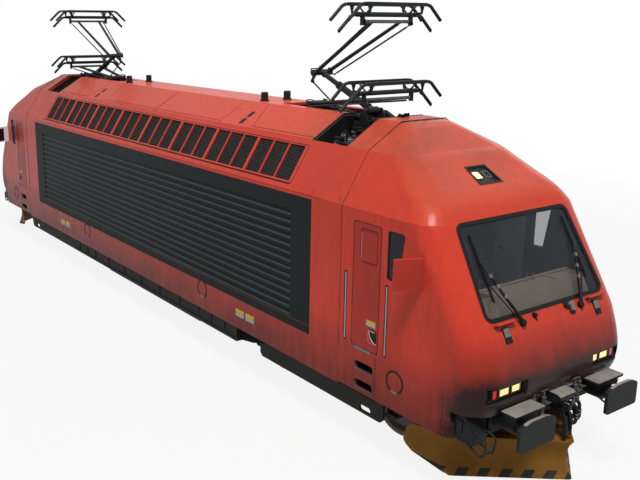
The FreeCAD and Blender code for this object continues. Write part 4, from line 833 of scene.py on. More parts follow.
# %% [markdown]
# ## Three trees for what repeats
# Rivets, slats and coil springs come in hundreds, all alike. A Geometry Nodes tree draws one
# and sets it down on every point of a small mesh, so a row is changed by one number. Each tree
# ends in real geometry with its material, which is then taken off as a plain mesh.

# %% Start a geometry tree
def start_tree(name, inputs):
    """Geometry tree with named inputs; returns it and its two ends."""
    tree = bpy.data.node_groups.new(name, "GeometryNodeTree")
    tree.interface.new_socket(name="Geometry", in_out="INPUT", socket_type="NodeSocketGeometry")
    for label, kind, value in inputs:
        socket = tree.interface.new_socket(name=label, in_out="INPUT", socket_type="NodeSocket" + kind)
        socket.default_value = value
    tree.interface.new_socket(name="Material", in_out="INPUT", socket_type="NodeSocketMaterial")
    tree.interface.new_socket(name="Geometry", in_out="OUTPUT", socket_type="NodeSocketGeometry")
    return tree, tree.nodes.new("NodeGroupInput").outputs, tree.nodes.new("NodeGroupOutput").inputs


def end_tree(tree, given, made, instances):
    """Realizes the instances, smooths them and gives them their material."""
    real = add_node(tree, "GeometryNodeRealizeInstances", None, Geometry=instances).outputs[0]
    smooth = add_node(tree, "GeometryNodeSetShadeSmooth", None, Geometry=real).outputs[0]
    done = add_node(tree, "GeometryNodeSetMaterial", None, Geometry=smooth,
                    Material=given["Material"]).outputs[0]
    tree.links.new(done, made["Geometry"])


def grown(name, tree, spots, material, body="carbody", facing=None, place=None, **sizes):
    """Runs a tree on a mesh of spots and keeps the result as a plain piece."""
    seed = bpy.data.meshes.new(name + "_spots")
    seed.from_pydata([tuple(s) for s in spots], [], [])
    if facing is not None:
        marks = seed.attributes.new("facing", "FLOAT_VECTOR", "POINT")
        marks.data.foreach_set("vector", [c for f in facing for c in f])
    holder = bpy.data.objects.new(name + "_holder", seed)
    bpy.context.scene.collection.objects.link(holder)
    modifier = holder.modifiers.new("tree", "NODES")
    modifier.node_group = tree
    idents = {item.name: item.identifier for item in tree.interface.items_tree if item.in_out == "INPUT"}
    for label, value in sizes.items():
        modifier[idents[label.replace("_", " ")]] = value
    modifier[idents["Material"]] = material
    graph = bpy.context.evaluated_depsgraph_get()
    mesh = bpy.data.meshes.new_from_object(holder.evaluated_get(graph), depsgraph=graph)
    mesh.name = name
    bpy.data.objects.remove(holder)
    if place is not None:
        mesh.transform(place)
    mesh.set_sharp_from_angle(angle=CREASE)
    return keep(name, mesh, material, body)

# %% The rivet tree
rivets, given, made = start_tree("rivet_rows", (("Radius", "Float", 0.008), ("Height", "Float", 0.004),
                                                ("Segments", "Int", 8)))
head = add_node(rivets, "GeometryNodeMeshUVSphere", None, Segments=given["Segments"], Rings=6,
                Radius=1.0).outputs[0]
size = add_node(rivets, "ShaderNodeCombineXYZ", None, X=given["Radius"], Y=given["Radius"],
                Z=given["Height"]).outputs[0]
head = add_node(rivets, "GeometryNodeTransform", None, Geometry=head, Scale=size).outputs[0]
face = add_node(rivets, "GeometryNodeInputNamedAttribute", {"data_type": "FLOAT_VECTOR"},
                Name="facing").outputs[0]
aim = add_node(rivets, "FunctionNodeAlignRotationToVector", {"axis": "Z"}, Vector=face).outputs[0]
row = add_node(rivets, "GeometryNodeInstanceOnPoints", None, Points=given["Geometry"], Instance=head,
               Rotation=aim).outputs[0]
end_tree(rivets, given, made, row)

# %% The slat tree
slats, given, made = start_tree("slat_bank", (("Slats", "Int", 18), ("Pitch", "Float", 0.03),
                                              ("Width", "Float", 0.38), ("Chord", "Float", 0.03),
                                              ("Thickness", "Float", 0.003), ("Tilt", "Float", 0.7)))
size = add_node(slats, "ShaderNodeCombineXYZ", None, X=given["Width"], Y=given["Chord"],
                Z=given["Thickness"]).outputs[0]
lean = add_node(slats, "ShaderNodeCombineXYZ", None, X=given["Tilt"], Y=0.0, Z=0.0).outputs[0]
slat = add_node(slats, "GeometryNodeMeshCube", None, Size=size).outputs[0]
slat = add_node(slats, "GeometryNodeTransform", None, Geometry=slat, Rotation=lean).outputs[0]
step = add_node(slats, "ShaderNodeCombineXYZ", None, X=0.0, Y=given["Pitch"], Z=0.0).outputs[0]
line = add_node(slats, "GeometryNodeMeshLine", None, Count=given["Slats"], Offset=step).outputs[0]
column = add_node(slats, "GeometryNodeInstanceOnPoints", None, Points=line, Instance=slat).outputs[0]
bank = add_node(slats, "GeometryNodeInstanceOnPoints", None, Points=given["Geometry"],
                Instance=column).outputs[0]
end_tree(slats, given, made, bank)

# %% The coil spring tree
coils, given, made = start_tree("coil_springs", (("Turns", "Float", 5.0), ("Coil Radius", "Float", 0.1),
                                                 ("Wire Radius", "Float", 0.015), ("Height", "Float", 0.3)))
spiral = add_node(coils, "GeometryNodeCurveSpiral", None, Resolution=24, Rotations=given["Turns"],
                  Start_Radius=given["Coil Radius"], End_Radius=given["Coil Radius"],
                  Height=given["Height"]).outputs[0]
wire = add_node(coils, "GeometryNodeCurvePrimitiveCircle", None, Resolution=10,
                Radius=given["Wire Radius"]).outputs[0]
spring = add_node(coils, "GeometryNodeCurveToMesh", None, Curve=spiral, Profile_Curve=wire,
                  Fill_Caps=True).outputs[0]
nest = add_node(coils, "GeometryNodeInstanceOnPoints", None, Points=given["Geometry"],
                Instance=spring).outputs[0]
end_tree(coils, given, made, nest)
print("trees:", [t.name for t in (rivets, slats, coils)])

# %% [markdown]
# ## Air grilles in the roof slope
# The machine room breathes through banks of cells in the roof slope. Each cell is closed by
# thin slats set at an angle, which keep rain out. The slats sit just inside the red frame, so
# they are seen as fine dark lines. A narrow gap runs round the whole frame, where the grille
# unit drops into the roof, and a wider dark strip under its lower edge is the painted shadow
# of the raised frame.

# %% Slats, the gap round the grille unit and its painted shadow strip
slat_dark = cast_metal("slat_dark", rgb(44, 44, 45), rgb(78, 66, 58), 0.35, 200.0, 0.55)
CELL, CELL_BAR, GROUP_BAR, GRILLE_END = 0.3814, 0.026, 0.062, 5.002
SLAT_COUNT, SLAT_LOW, SLAT_HIGH, SLAT_DEPTH = 19, 0.147, 0.711, -0.024

cell_places = []
start = -GRILLE_END
for cell in range(24):
    cell_places.append((start + CELL / 2, SLAT_LOW, SLAT_DEPTH))
    start += CELL + (GROUP_BAR if cell % 3 == 2 else CELL_BAR)
for end, side in ((1, "right"), (-1, "left")):
    grown("grille_slats_" + side, slats, cell_places, slat_dark, place=HALF_TURN[end] @ LOW_SLOPE,
          Slats=SLAT_COUNT, Pitch=(SLAT_HIGH - SLAT_LOW) / (SLAT_COUNT - 1), Width=CELL - 0.003,
          Chord=0.027, Thickness=0.004, Tilt=math.radians(-34))

GAP_HALF, GAP_LOW, GAP_HIGH, GAP_WIDE = 5.079, 0.098, 0.752, 0.011
bm = bmesh.new()
for turn in TURNS:
    add_rim(bm, turn @ LOW_SLOPE, soft_box(-GAP_HALF, GAP_HALF, GAP_LOW, GAP_HIGH, 0.03),
            soft_box(GAP_WIDE - GAP_HALF, GAP_HALF - GAP_WIDE, GAP_LOW + GAP_WIDE, GAP_HIGH - GAP_WIDE, 0.02),
            -0.002, 0.0012)
    # A wider dark strip under the lower edge: painted shadow of the raised grille frame.
    add_plate(bm, turn @ LOW_SLOPE, rectangle(0.03 - GAP_HALF, GAP_HALF - 0.03, GAP_LOW - 0.016, GAP_LOW),
              -0.002, 0.0012)
finished("grille_gaps_and_shadow", bm, rubber_black)
print("grille cells:", len(cell_places) * 2)

# %% [markdown]
# ## Roof hatches
# The roof lifts off in sections. Each is a shallow lid whose lower edge laps over the roof
# edge and is riveted to a rail beneath; a dark strip under that edge is its painted shadow.
# Between the outer and the middle lids are two short slots, where the lifting slings pass,
# drawn as dark plates that paint the shade inside them.

# %% Lid edges with their painted shadows, sling slots in painted shade, and roof seams
LID_LOW, LID_HIGH = 0.062, 0.690
bm = bmesh.new()
for turn in TURNS:
    for flip in both_sides(turn @ HIGH_SLOPE):
        # Dark strips under the lids' lower edges: painted shadow of the lapped edges.
        for a0, a1 in ((0.03, 2.40), (3.36, 5.055)):
            add_plate(bm, flip, rectangle(a0, a1, LID_LOW - 0.008, LID_LOW), -0.003, 0.002)
        add_plate(bm, flip, [(3.415, LID_LOW), (3.423, LID_LOW), (3.133, LID_HIGH), (3.125, LID_HIGH)],
                  -0.003, 0.0015)
        add_plate(bm, flip, rectangle(-0.004, 0.004, 0.02, LID_HIGH), -0.003, 0.0015)
    slope = turn @ LOW_SLOPE
    for x, low, high in ((5.65, 0.035, 0.10), (6.22, 0.035, 0.12), (5.16, 0.052, 0.098)):
        for sign in ENDS:
            add_plate(bm, slope, rectangle(sign * x - 0.004, sign * x + 0.004, low, high), -0.003, 0.0015)
finished("roof_seams_and_lid_shadows", bm, rubber_black)

bm = bmesh.new()
for turn in TURNS:
    for flip in both_sides(turn @ HIGH_SLOPE):
        # Dark plates that paint the shade inside the recessed sling slots.
        for low, high in ((0.070, 0.225), (0.270, 0.425)):
            add_plate(bm, flip, soft_box(2.955, 3.055, low, high, 0.018), -0.004, 0.0016)
finished("sling_slots", bm, well_black)

# %% Rivets along the lids
spots, facing = [], []
for turn in TURNS:
    for flip in both_sides(turn @ HIGH_SLOPE):
        rows = [(x0 + 0.06 + k * 0.235, 0.088) for x0, count in ((0.03, 10), (3.42, 7)) for k in range(count)]
        rows += [(x, 0.14 + k * 0.11) for x in (0.04, 2.38, 5.03) for k in range(5)]
        spots += [flip @ Vector((a, b, 0.0)) for a, b in rows]
        facing += [flip.to_3x3() @ Vector((0, 0, 1))] * len(rows)
grown("roof_rivets", rivets, spots, screw_red, facing=facing, Radius=0.011, Height=0.004)
print("rivets:", len(spots))

# %% [markdown]
# ## Lifting rings, seams and labels on the side
# Under each corner a round cover hides a lifting socket. It shows as a dark ring with a short
# grey latch at its foot. The skirt is made in lengths, with a riveted joint near the nose, and
# a metal sill plate protects the paint under each door. The plates for makers' data are bare.

# %% Ring covers, skirt joints and sill plates
label_grey = plain_paint("label_grey", rgb(176, 178, 174), rgb(150, 140, 128), rgb(90, 80, 72),
                         0.3, 0.3, 1.2, 0.45)
label_yellow = plain_paint("label_yellow", rgb(214, 186, 40), rgb(170, 150, 70), rgb(100, 84, 50),
                           0.2, 0.3, 1.2, 0.45)
RING_PLACES = ((7.46, 1.205), (-2.58, 1.150), (2.55, 1.150), (-7.46, 1.205))
RING_OUT, RING_IN = 0.163, 0.134
DOOR_MIDDLE = 6.815


def add_open_ring(bm, face, x, z):
    """Flat ring that is open at its foot."""
    outline = [[(x + r * math.sin(math.radians(a)), z + r * math.cos(math.radians(a)))
                for a in range(-150, 151, 10)] for r in (RING_OUT, RING_IN)]
    ring = outline[0] + outline[1][::-1]
    low, high = ([bm.verts.new(face @ Vector((a, b, c))) for a, b in ring] for c in (-0.002, 0.003))
    for k in range(len(ring) // 2 - 1):
        mate = len(ring) - 1 - k
        bm.faces.new((high[k], high[k + 1], high[mate - 1], high[mate]))
        bm.faces.new((low[k], low[mate], low[mate - 1], low[k + 1]))
    bridge(bm, low, high)


dark, pale, notices, heads = new_meshes(4)
for turn in TURNS:
    face = turn @ SIDE_FACE
    for x, z in RING_PLACES:
        add_open_ring(dark, face, x, z)
        add_plate(pale, face, soft_box(x - 0.05, x + 0.05, z - 0.160, z - 0.128, 0.006), -0.002, 0.008)
    for x in (7.084, 8.300, -7.084, -8.300):
        add_plate(dark, face, rectangle(x - 0.003, x + 0.003, 0.835, 1.412), -0.003, 0.0012)
    for x in (DOOR_MIDDLE, -DOOR_MIDDLE):
        add_plate(pale, face, soft_box(x - 0.16, x + 0.16, 1.424, 1.464, 0.004), -0.002, 0.005)
    for x in (3.77, 4.07, -3.77, -4.07):
        for bm, low in ((notices, 0.985), (heads, 1.050)):
            add_plate(bm, face, soft_box(x - 0.12, x + 0.12, low, low + 0.060, 0.006), -0.002, 0.0025)
finished("ring_covers", dark, rubber_black)
finished("sill_plates", pale, zinc_grey)
finished("bare_plates", notices, label_grey)
finished("bare_plate_tops", heads, label_yellow)
spots = [turn @ up(sign * 8.326, -HALF_WIDTH, z) for turn in TURNS for sign in ENDS
         for z in (1.375, 1.150, 0.985, 0.870)]
facing = [turn.to_3x3() @ Vector((0, -1, 0)) for turn in TURNS for _k in range(8)]
grown("skirt_rivets", rivets, spots, screw_red, facing=facing, Radius=0.011, Height=0.005)

# %% [markdown]
# ## Cab doors
# Each cab door has a dark finger recess with a bar across its top, and a small bare label
# above it. They move with the door, so each rides on its own door.

# %% Door recess linings, bars and labels
def doors_and_faces():
    """Each cab door's body, with the placement of its outer face."""
    for name in frame["bodies"]:
        if name.endswith("_door"):
            low, _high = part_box(name)
            right, left = both_sides(HALF_TURN[1 if low[0] > 0 else -1] @ SIDE_FACE)
            yield name, right if (low[1] < 0) == (low[0] > 0) else left


RECESS_FRONT, RECESS_FOOT, RECESS_TOP = 7.083, 1.596, 1.784
for name, face in doors_and_faces():
    lining, bar, label, cap, filler, lever = new_meshes(6)
    arc = [(RECESS_FRONT - 0.156 * math.cos(math.radians(a)), RECESS_TOP - 0.188 * math.sin(math.radians(a)))
           for a in range(15, 90, 15)]
    foot = (RECESS_FRONT, RECESS_FOOT)
    add_plate(lining, face, [foot, (RECESS_FRONT, RECESS_TOP), (6.927, RECESS_TOP)] + arc, -0.014, -0.008)
    corner = [(6.9215, 1.5915), (RECESS_FRONT, 1.5915), foot] + arc[::-1] + [(6.9215, RECESS_TOP)]
    add_plate(filler, face, corner, -0.020, -0.0015)
    add_plate(bar, face, soft_box(6.936, 7.050, 1.752, 1.770, 0.004), -0.008, -0.001)
    add_plate(label, face, soft_box(6.880, 7.060, 1.826, 1.868, 0.004), -0.001, 0.0014)
    add_plate(cap, face, rectangle(6.880, 7.060, 1.870, 1.906), -0.001, 0.0014)
    add_bar(lever, [face @ Vector(p) for p in ((6.72, 2.43, -0.075), (6.72, 2.43, -0.11),
                                               (6.84, 2.43, -0.115))], 0.010)
    finished(name + "_recess", lining, rubber_black, name)
    finished(name + "_pocket_edge", filler, door_red, name)
    finished(name + "_inner_lever", lever, rail_steel, name)
    finished(name + "_bar", bar, rail_steel, name, 0.002)
    finished(name + "_label", label, label_grey, name)
    finished(name + "_label_top", cap, label_yellow, name)

# %% Door gaps and the line round the door panel
gaps = bmesh.new()
for turn in TURNS:
    for flip in both_sides(turn @ SIDE_FACE):
        add_rim(gaps, flip, soft_box(6.576, 7.119, 1.461, 3.239, 0.07),
                soft_box(6.584, 7.111, 1.469, 3.231, 0.064), -0.003, 0.0014)
finished("door_gaps", gaps, rubber_black)
for name, face in doors_and_faces():
    line = bmesh.new()
    add_rim(line, face, soft_box(6.722, 7.053, 2.692, 3.158, 0.05),
            soft_box(6.730, 7.045, 2.700, 3.150, 0.044), -0.004, 0.0012)
    finished(name + "_panel_line", line, rubber_black, name)

# %% [markdown]
# ## Fittings on the nose
# Under each lower corner of the windscreen is a narrow red foot ledge over an upright slot
# with a grab in it, for whoever cleans the glass. A dark strip under each ledge is its painted
# shadow, and the slot is a black plate that paints the shade round the grab. Between them are
# a washer nozzle and a covered socket, and darker red plates under the wiper hubs paint the
# hubs' shadows on the nose. The frame's plain ledges make way for these fuller ones.

# %% Foot ledges with their painted shadows, and grab slots in painted shade
GRAB_Y, GRAB_HALF = 0.912, 0.062
ledges, slots, grips, shadow = new_meshes(4)
for turn in TURNS:
    for y in (-GRAB_Y, GRAB_Y):
        nose = turn @ NOSE
        screen = turn @ SCREEN
        add_plate(ledges, moved(screen, c=0.001), soft_box(y - 0.170, y + 0.170, 0.082, 0.108, 0.007), 0.0,
                  0.070)
        # Dark strip under each ledge: painted shadow of the ledge.
        add_plate(shadow, moved(screen, c=0.001), rectangle(y - 0.172, y + 0.172, 0.074, 0.082), 0.0, 0.062)
        # Black slot plate: painted shade in the slot round the grab.
        add_plate(slots, nose, soft_box(y - GRAB_HALF, y + GRAB_HALF, 0.022, 0.214, 0.010), -0.003, 0.012)
        add_plate(grips, nose, soft_box(y + 0.011 - GRAB_HALF, y - 0.011 + GRAB_HALF, 0.098, 0.206, 0.008),
                  0.010, 0.018)
ledge = finished("foot_ledges", ledges, body_red, soften=0.003)
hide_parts("nose_ledges")
finished("grab_slots", slots, rubber_black)
finished("ledge_shadows", shadow, rubber_black)
finished("grab_plates", grips, zinc_grey, soften=0.0015)

# %% Washer nozzle, socket, wiper trim and the painted shadows under the wiper hubs
WIPER_HUB, WIPER_TIP = (0.590, 0.040, 0.040), (0.930, 0.850, 0.034)
black, grey, red = new_meshes(3)
for turn in TURNS:
    screen, nose = turn @ SCREEN, turn @ NOSE
    add_turned(black, moved(screen, -0.325, 0.085, 0.0),
               [(0, -0.004), (0.036, -0.004), (0.036, 0.012), (0.024, 0.03), (0.024, 0.045), (0, 0.05)])
    add_bar(black, [screen @ Vector(p) for p in ((-0.325, 0.08, 0.02), (-0.312, 0.01, 0.008))], 0.012,
            taper=0.4)
    add_turned(black, moved(screen, 0.325, 0.090, 0.0),
               [(0, -0.004), (0.046, -0.004), (0.050, 0.02), (0.030, 0.034), (0, 0.036)])
    add_plate(black, screen, soft_box(0.36, 0.45, -0.045, 0.14, 0.02), -0.004, 0.016)
    add_plate(grey, screen, soft_box(0.37, 0.44, 0.0, 0.125, 0.014), 0.014, 0.042)
    add_bar(grey, [screen @ Vector((a, 0.09, 0.035)) for a in (0.33, 0.38)], 0.012)
    for sign in SIDES:
        hub, tip = (Vector((sign * p[0],) + p[1:]) for p in (WIPER_HUB, WIPER_TIP))
        add_turned(black, moved(screen, hub.x, hub.y, 0.0),
                   [(0, 0), (0.046, 0), (0.048, 0.02), (0.038, 0.052), (0, 0.058)])
        add_bar(black, [screen @ hub.lerp(tip, t) for t in (0.0, 0.12, 0.3, 0.5, 0.75)], 0.024, 12, 0.5)
        add_bar(black, [screen @ Vector((sign * a, b, c))
                        for a, b, c in ((0.622, 0.045, 0.03), (0.945, 0.62, 0.026))], 0.008)
        add_plate(black, screen, rectangle(sign * 0.930 - 0.006, sign * 0.930 + 0.006, 0.37, 1.245), -0.006,
                  0.020)
        for t in (0.44, 0.62, 0.80):
            add_plate(grey, moved(screen, *hub.lerp(tip, t)), soft_box(-0.019, 0.019, -0.024, 0.024, 0.006),
                      -0.012, 0.016)
        # Darker red plates under the wiper hubs: painted shadow of the hubs on the nose.
        low, high = sign * 0.590, sign * 0.578
        add_plate(red, nose, [(low - 0.022, 0.075), (low + 0.022, 0.075), (high + 0.030, 0.180),
                              (high - 0.030, 0.180)], -0.003, 0.004)
finished("wiper_trim", black, rubber_black, soften=0.0015)
finished("wiper_joints", grey, zinc_grey, soften=0.002)
finished("wiper_hub_shadows", red, door_red)

# %% [markdown]
# ## Driver's seats
# Two seats stand in the two cabs. Each has a turned pedestal with rubber bellows, a sewn seat
# cushion and a tall back. The pads start as rounded slabs and are blown up a little by a cloth
# simulation, so their faces crown and their sides draw in between the corners, as foam under
# cloth does. The sewn channels and the piping go on afterwards.

# %% Seat cloth
def seat_cloth():
    """Woven wool cloth: two crossing yarns, with a slow change of shade."""
    material, tree = new_material("seat_fabric")
    place = coordinates(tree)["Object"]
    warp, weft = (wave(tree, 190.0, {"bands_direction": axis}, Vector=place, Distortion=0.6) for axis in "YZ")
    weave = times(tree, warp, weft)
    worn = noise(tree, place, 9.0, 5.0)
    cloth = blend_colour(tree, weave, rgb(34, 40, 52), rgb(66, 74, 90))
    cloth = blend_colour(tree, ramp(tree, worn, 0.4, 0.75, 0.0, 0.35), cloth, rgb(88, 90, 92))
    principled(tree, weave, 0.5, 0.0012, Base_Color=cloth, Roughness=ramp(tree, worn, 0.3, 0.7, 0.86, 0.96),
               Specular_IOR_Level=0.2, Sheen_Weight=0.3, Sheen_Roughness=0.5)
    return material


seat_fabric = seat_cloth()

# %% Blow up one pad
CLOTH_FRAMES = 16
STITCH_DEEP, STITCH_WIDE = 0.007, 0.012


def pad_mesh(name, half_a, half_b, thick, crown, channels):
    """Slab with rounded outline, crowned by a short cloth simulation, with sewn channels."""
    bm = bmesh.new()
    bmesh.ops.create_grid(bm, x_segments=26, y_segments=26, size=1.0)
    for vert in bm.verts:
        a, b = vert.co.x, vert.co.y
        vert.co = (a * half_a * math.sqrt(1 - 0.24 * b * b), b * half_b * math.sqrt(1 - 0.24 * a * a), 0.0)
    top = bmesh.ops.extrude_face_region(bm, geom=list(bm.faces))["geom"]
    for item in top:
        if isinstance(item, bmesh.types.BMVert):
            item.co.z = thick
    bmesh.ops.recalc_face_normals(bm, faces=bm.faces)
    mesh = bpy.data.meshes.new(name)
    bm.to_mesh(mesh)
    bm.free()
    pad = bpy.data.objects.new(name + "_pad", mesh)
    bpy.context.scene.collection.objects.link(pad)
    start = [v.co.copy() for v in mesh.vertices]
    cloth = pad.modifiers.new("blow", "CLOTH")
    cloth.settings.use_pressure = True
    cloth.settings.uniform_pressure_force = 4.0
    cloth.settings.effector_weights.gravity = 0.0
    cloth.point_cache.frame_end = CLOTH_FRAMES
    for number in range(1, CLOTH_FRAMES + 1):
        bpy.context.scene.frame_set(number)
    graph = bpy.context.evaluated_depsgraph_get()
    mesh = bpy.data.meshes.new_from_object(pad.evaluated_get(graph), depsgraph=graph)
    for vert, was in zip(mesh.vertices, start):
        shift = vert.co - was
        if shift.length > crown:
            vert.co = was + shift * (crown / shift.length)
    bpy.context.scene.frame_set(1)
    bpy.data.objects.remove(pad)
    for vert in mesh.vertices:
        if vert.co.z > thick * 0.6:
            for line in channels:
                vert.co.z -= STITCH_DEEP * math.exp(-((vert.co.y - line) / STITCH_WIDE) ** 2)
    bm = bmesh.new()
    bm.from_mesh(mesh)
    bmesh.ops.subdivide_edges(bm, edges=bm.edges, cuts=1, use_grid_fill=True, smooth=0.5)
    bm.to_mesh(mesh)
    bm.free()
    mesh.shade_smooth()
    return mesh


SEAT = up(7.560, 0.420, 1.840)
BACK = plane((7.345, 0.420, 1.965 + RAIL), (0, 1, 0), (-0.095, 0, 0.62))
base_pad = pad_mesh("base", 0.215, 0.205, 0.070, 0.014, (-0.11, 0.0, 0.11))
back_pad = pad_mesh("back", 0.195, 0.215, 0.060, 0.012, (-0.12, -0.02, 0.08))
head_pad = pad_mesh("head", 0.125, 0.075, 0.050, 0.010, ())
for end in ENDS:
    where = END_NAME[end]
    for part_name, source, at in (
            ("cushion", base_pad,
             Matrix.Translation(SEAT + Vector((0.01, 0, 0.020))) @ Matrix.Rotation(math.pi / 2, 4, "Z")),
            ("backrest", back_pad, moved(BACK, 0, 0.17, 0.0)),
            ("headrest", head_pad, moved(BACK, 0, 0.472, 0.006))):
        mesh = source.copy()
        mesh.transform(HALF_TURN[end] @ at)
        pad = keep(where + "_seat_" + part_name, mesh, seat_fabric)
        if (end, part_name) == (1, "cushion"):
            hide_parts("driver_seats")
print("seat pads:", 3 * len(ENDS))

# %% Seat frames, pedestals and piping
frames, piping = new_meshes(2)
for turn in TURNS:
    foot = turn @ Matrix.Translation(up(7.560, 0.420, 1.445))
    add_turned(frames, foot, [(0, 0), (0.15, 0), (0.15, 0.012), (0.075, 0.03)]
               + [(0.072 if k % 2 else 0.088, 0.05 + 0.03 * k) for k in range(9)]
               + [(0.07, 0.33), (0.07, 0.36), (0, 0.36)], 24)
    add_plate(frames, turn @ Matrix.Translation(SEAT), soft_box(-0.19, 0.19, -0.19, 0.19, 0.04), -0.035, 0.018)
    back = turn @ BACK
    add_plate(frames, back, soft_box(-0.185, 0.185, -0.05, 0.39, 0.07), -0.030, -0.002)
    add_bar(frames, [back @ Vector((0, 0.36, -0.016)), back @ Vector((0, 0.52, -0.006))], 0.018)
    for y in (-0.21, 0.21):
        arm = [turn @ (SEAT + Vector(p))
               for p in ((-0.20, y, 0.20), (-0.05, y * 1.08, 0.215), (0.14, y * 1.08, 0.21))]
        add_bar(frames, curve_through(arm), 0.022)
    for low, high, at, depth in (
            (0.205, 0.195, turn @ Matrix.Translation(SEAT + Vector((0.01, 0, 0.0))), 0.092),
            (0.190, 0.205, moved(back, 0, 0.17, 0.0), 0.062)):
        edge = soft_box(-low, low, -high, high, 0.07, 6)
        add_bar(piping, [at @ Vector((a, b, depth)) for a, b in edge + edge[:1]], 0.0045, 6)
finished("seat_frames", frames, equipment_black)
finished("seat_piping", piping, rubber_black)

# %% [markdown]
# ## Inside the cab
# The desk carries a raised rim of lighter laminate, a dark instrument hood with round gauges,
# two control levers and demisting slots under the windscreen. A grey door with a lever
# handle leads from the rear wall to the machine room.

# %% Desk rim, gauges, levers and the rear door
cab_door_grey = plain_paint("cab_door_grey", rgb(96, 104, 112), rgb(96, 100, 102), rgb(58, 62, 66), 0.2, 0.2,
                            2.2, 0.55)
laminate = plain_paint("laminate", rgb(150, 128, 106), rgb(140, 124, 108), rgb(96, 84, 72), 0.3, 0.2, 2.0, 0.5)
rims, dark, doors, metal = new_meshes(4)
for turn in TURNS:
    desk = turn @ plane((8.120, 0, 2.500 + RAIL), (0, 1, 0), (1, 0, 0)) @ Matrix.Diagonal((1, 1, -1, 1))
    add_plate(rims, desk, soft_box(-1.06, 1.06, -0.005, 0.045, 0.008), -0.002, 0.022)
    add_plate(rims, desk, soft_box(0.50, 0.56, 0.04, 0.235, 0.01), -0.002, 0.020)
    gauges = turn @ plane((7.950, 0, 2.400 + RAIL), (0, -1, 0), (0.17, 0, 0.10))
    add_plate(dark, gauges, soft_box(-1.00, -0.10, 0.02, 0.18, 0.02), -0.002, 0.004)
    for k in range(5):
        add_plate(dark, desk, rectangle(-1.00 + k * 0.055, -0.975 + k * 0.055, 0.06, 0.22), -0.001, 0.003)
    for y in (-0.30, -0.48, -0.66, -0.84):
        add_turned(metal, moved(gauges, y, 0.10, 0.003),
                   [(0, 0), (0.055, 0), (0.058, 0.010), (0.050, 0.012), (0.048, 0.005), (0, 0.005)], 24)
    for y in (0.10, 0.24):
        root = desk @ Vector((y, 0.10, 0.0))
        add_bar(metal, [root, root + turn.to_3x3() @ Vector((-0.03, 0, 0.09))], 0.008)
        add_turned(dark, Matrix.Translation(root + turn.to_3x3() @ Vector((-0.03, 0, 0.085))),
                   [(0, 0), (0.016, 0.006), (0.020, 0.022), (0.012, 0.036), (0, 0.04)], 14)
    wall = turn @ plane((6.371, 0, RAIL), (0, 1, 0), (0, 0, 1))
    add_plate(doors, wall, soft_box(-0.30, 0.42, 1.47, 3.42, 0.02), -0.001, 0.014)
    add_plate(doors, wall, soft_box(-0.22, 0.34, 2.55, 3.30, 0.03), 0.013, 0.020)
    add_rim(dark, wall, soft_box(-0.325, 0.445, 1.45, 3.445, 0.02),
            soft_box(-0.302, 0.422, 1.472, 3.422, 0.02), -0.001, 0.022)
    add_bar(metal, [wall @ Vector(p) for p in ((0.33, 2.44, 0.014), (0.33, 2.44, 0.055), (0.22, 2.44, 0.06))],
            0.009)
finished("desk_rims", rims, laminate, soften=0.002)
finished("cab_fittings", dark, equipment_black)
finished("rear_doors", doors, cab_door_grey)
finished("cab_handles", metal, rail_steel)

# %% [markdown]
# ## Lamps
# Each lamp row sits behind a black bezel with a sloping brow, and black bars part the two
# warm lamps from the red one. The top lamp sits under a clear cover in a raised frame.

# %% Bezels, bars and the top lamp's frame
def glow_finish():
    """Ribbed lamp face that shines a little."""
    material, tree = new_material("lamp_glow")
    ribs = wave(tree, 60.0, {"bands_direction": "Y"}, Vector=coordinates(tree)["Object"])
    warm = blend_colour(tree, ribs, rgb(255, 238, 178), rgb(250, 214, 136))
    principled(tree, ribs, 0.3, 0.001, Base_Color=warm, Roughness=ramp(tree, ribs, 0.0, 1.0, 0.2, 0.3),
               Emission_Color=warm, Emission_Strength=0.9)
    return material


ROW_IN, ROW_OUT = -0.700, -1.30     # ends of a lamp row, from the middle of the nose
bezels, reds, glows = new_meshes(3)
for turn in TURNS:
    for face in both_sides(turn @ plane((8.801, 0, RAIL), (0, 1, 0), (0, 0, 1))):
        for a0, a1 in ((-0.9235, -0.890), (-1.162, -1.116), (-1.252, -1.230)):
            add_plate(bezels, face, rectangle(a0, a1, 1.418, 1.542), -0.002, 0.034)
        for low in (1.540, 1.404):
            add_plate(bezels, face, soft_box(ROW_OUT, ROW_IN, low, low + 0.016, 0.004), -0.002, 0.036)
        for a0, a1 in ((-0.876, -0.731), (-1.104, -0.935)):
            add_plate(glows, face, soft_box(a0 + 0.012, a1 - 0.012, 1.444, 1.516, 0.016), 0.0295, 0.0325)
            add_rim(bezels, face, soft_box(a0 - 0.006, a1 + 0.006, 1.430, 1.530, 0.012),
                    soft_box(a0, a1, 1.436, 1.524, 0.010), 0.028, 0.034)
    top = turn @ plane((7.605, 0, 3.735 + RAIL), (0, 1, 0), (-0.857, 0, 0.514))
    add_rim(bezels, top, [(-0.232, -0.002), (0.232, -0.002), (0.203, 0.372), (-0.203, 0.372)],
            [(-0.207, 0.024), (0.207, 0.024), (0.179, 0.346), (-0.179, 0.346)], -0.020, 0.007)
    lamp = soft_box(-0.158, -0.038, 0.130, 0.262, 0.022)
    add_plate(glows, top, lamp, -0.0135, -0.0105)
    add_rim(bezels, top, soft_box(-0.172, -0.024, 0.116, 0.276, 0.026), lamp, -0.0135, -0.0085)
    add_rim(reds, top, soft_box(0.040, 0.152, 0.130, 0.262, 0.022),
            soft_box(0.052, 0.140, 0.142, 0.250, 0.018), -0.0135, -0.0095)
finished("lamp_bezels", bezels, equipment_black, soften=0.0015)
finished("lamp_faces", glows, glow_finish())
finished("spare_lamp_rim", reds, zinc_grey)

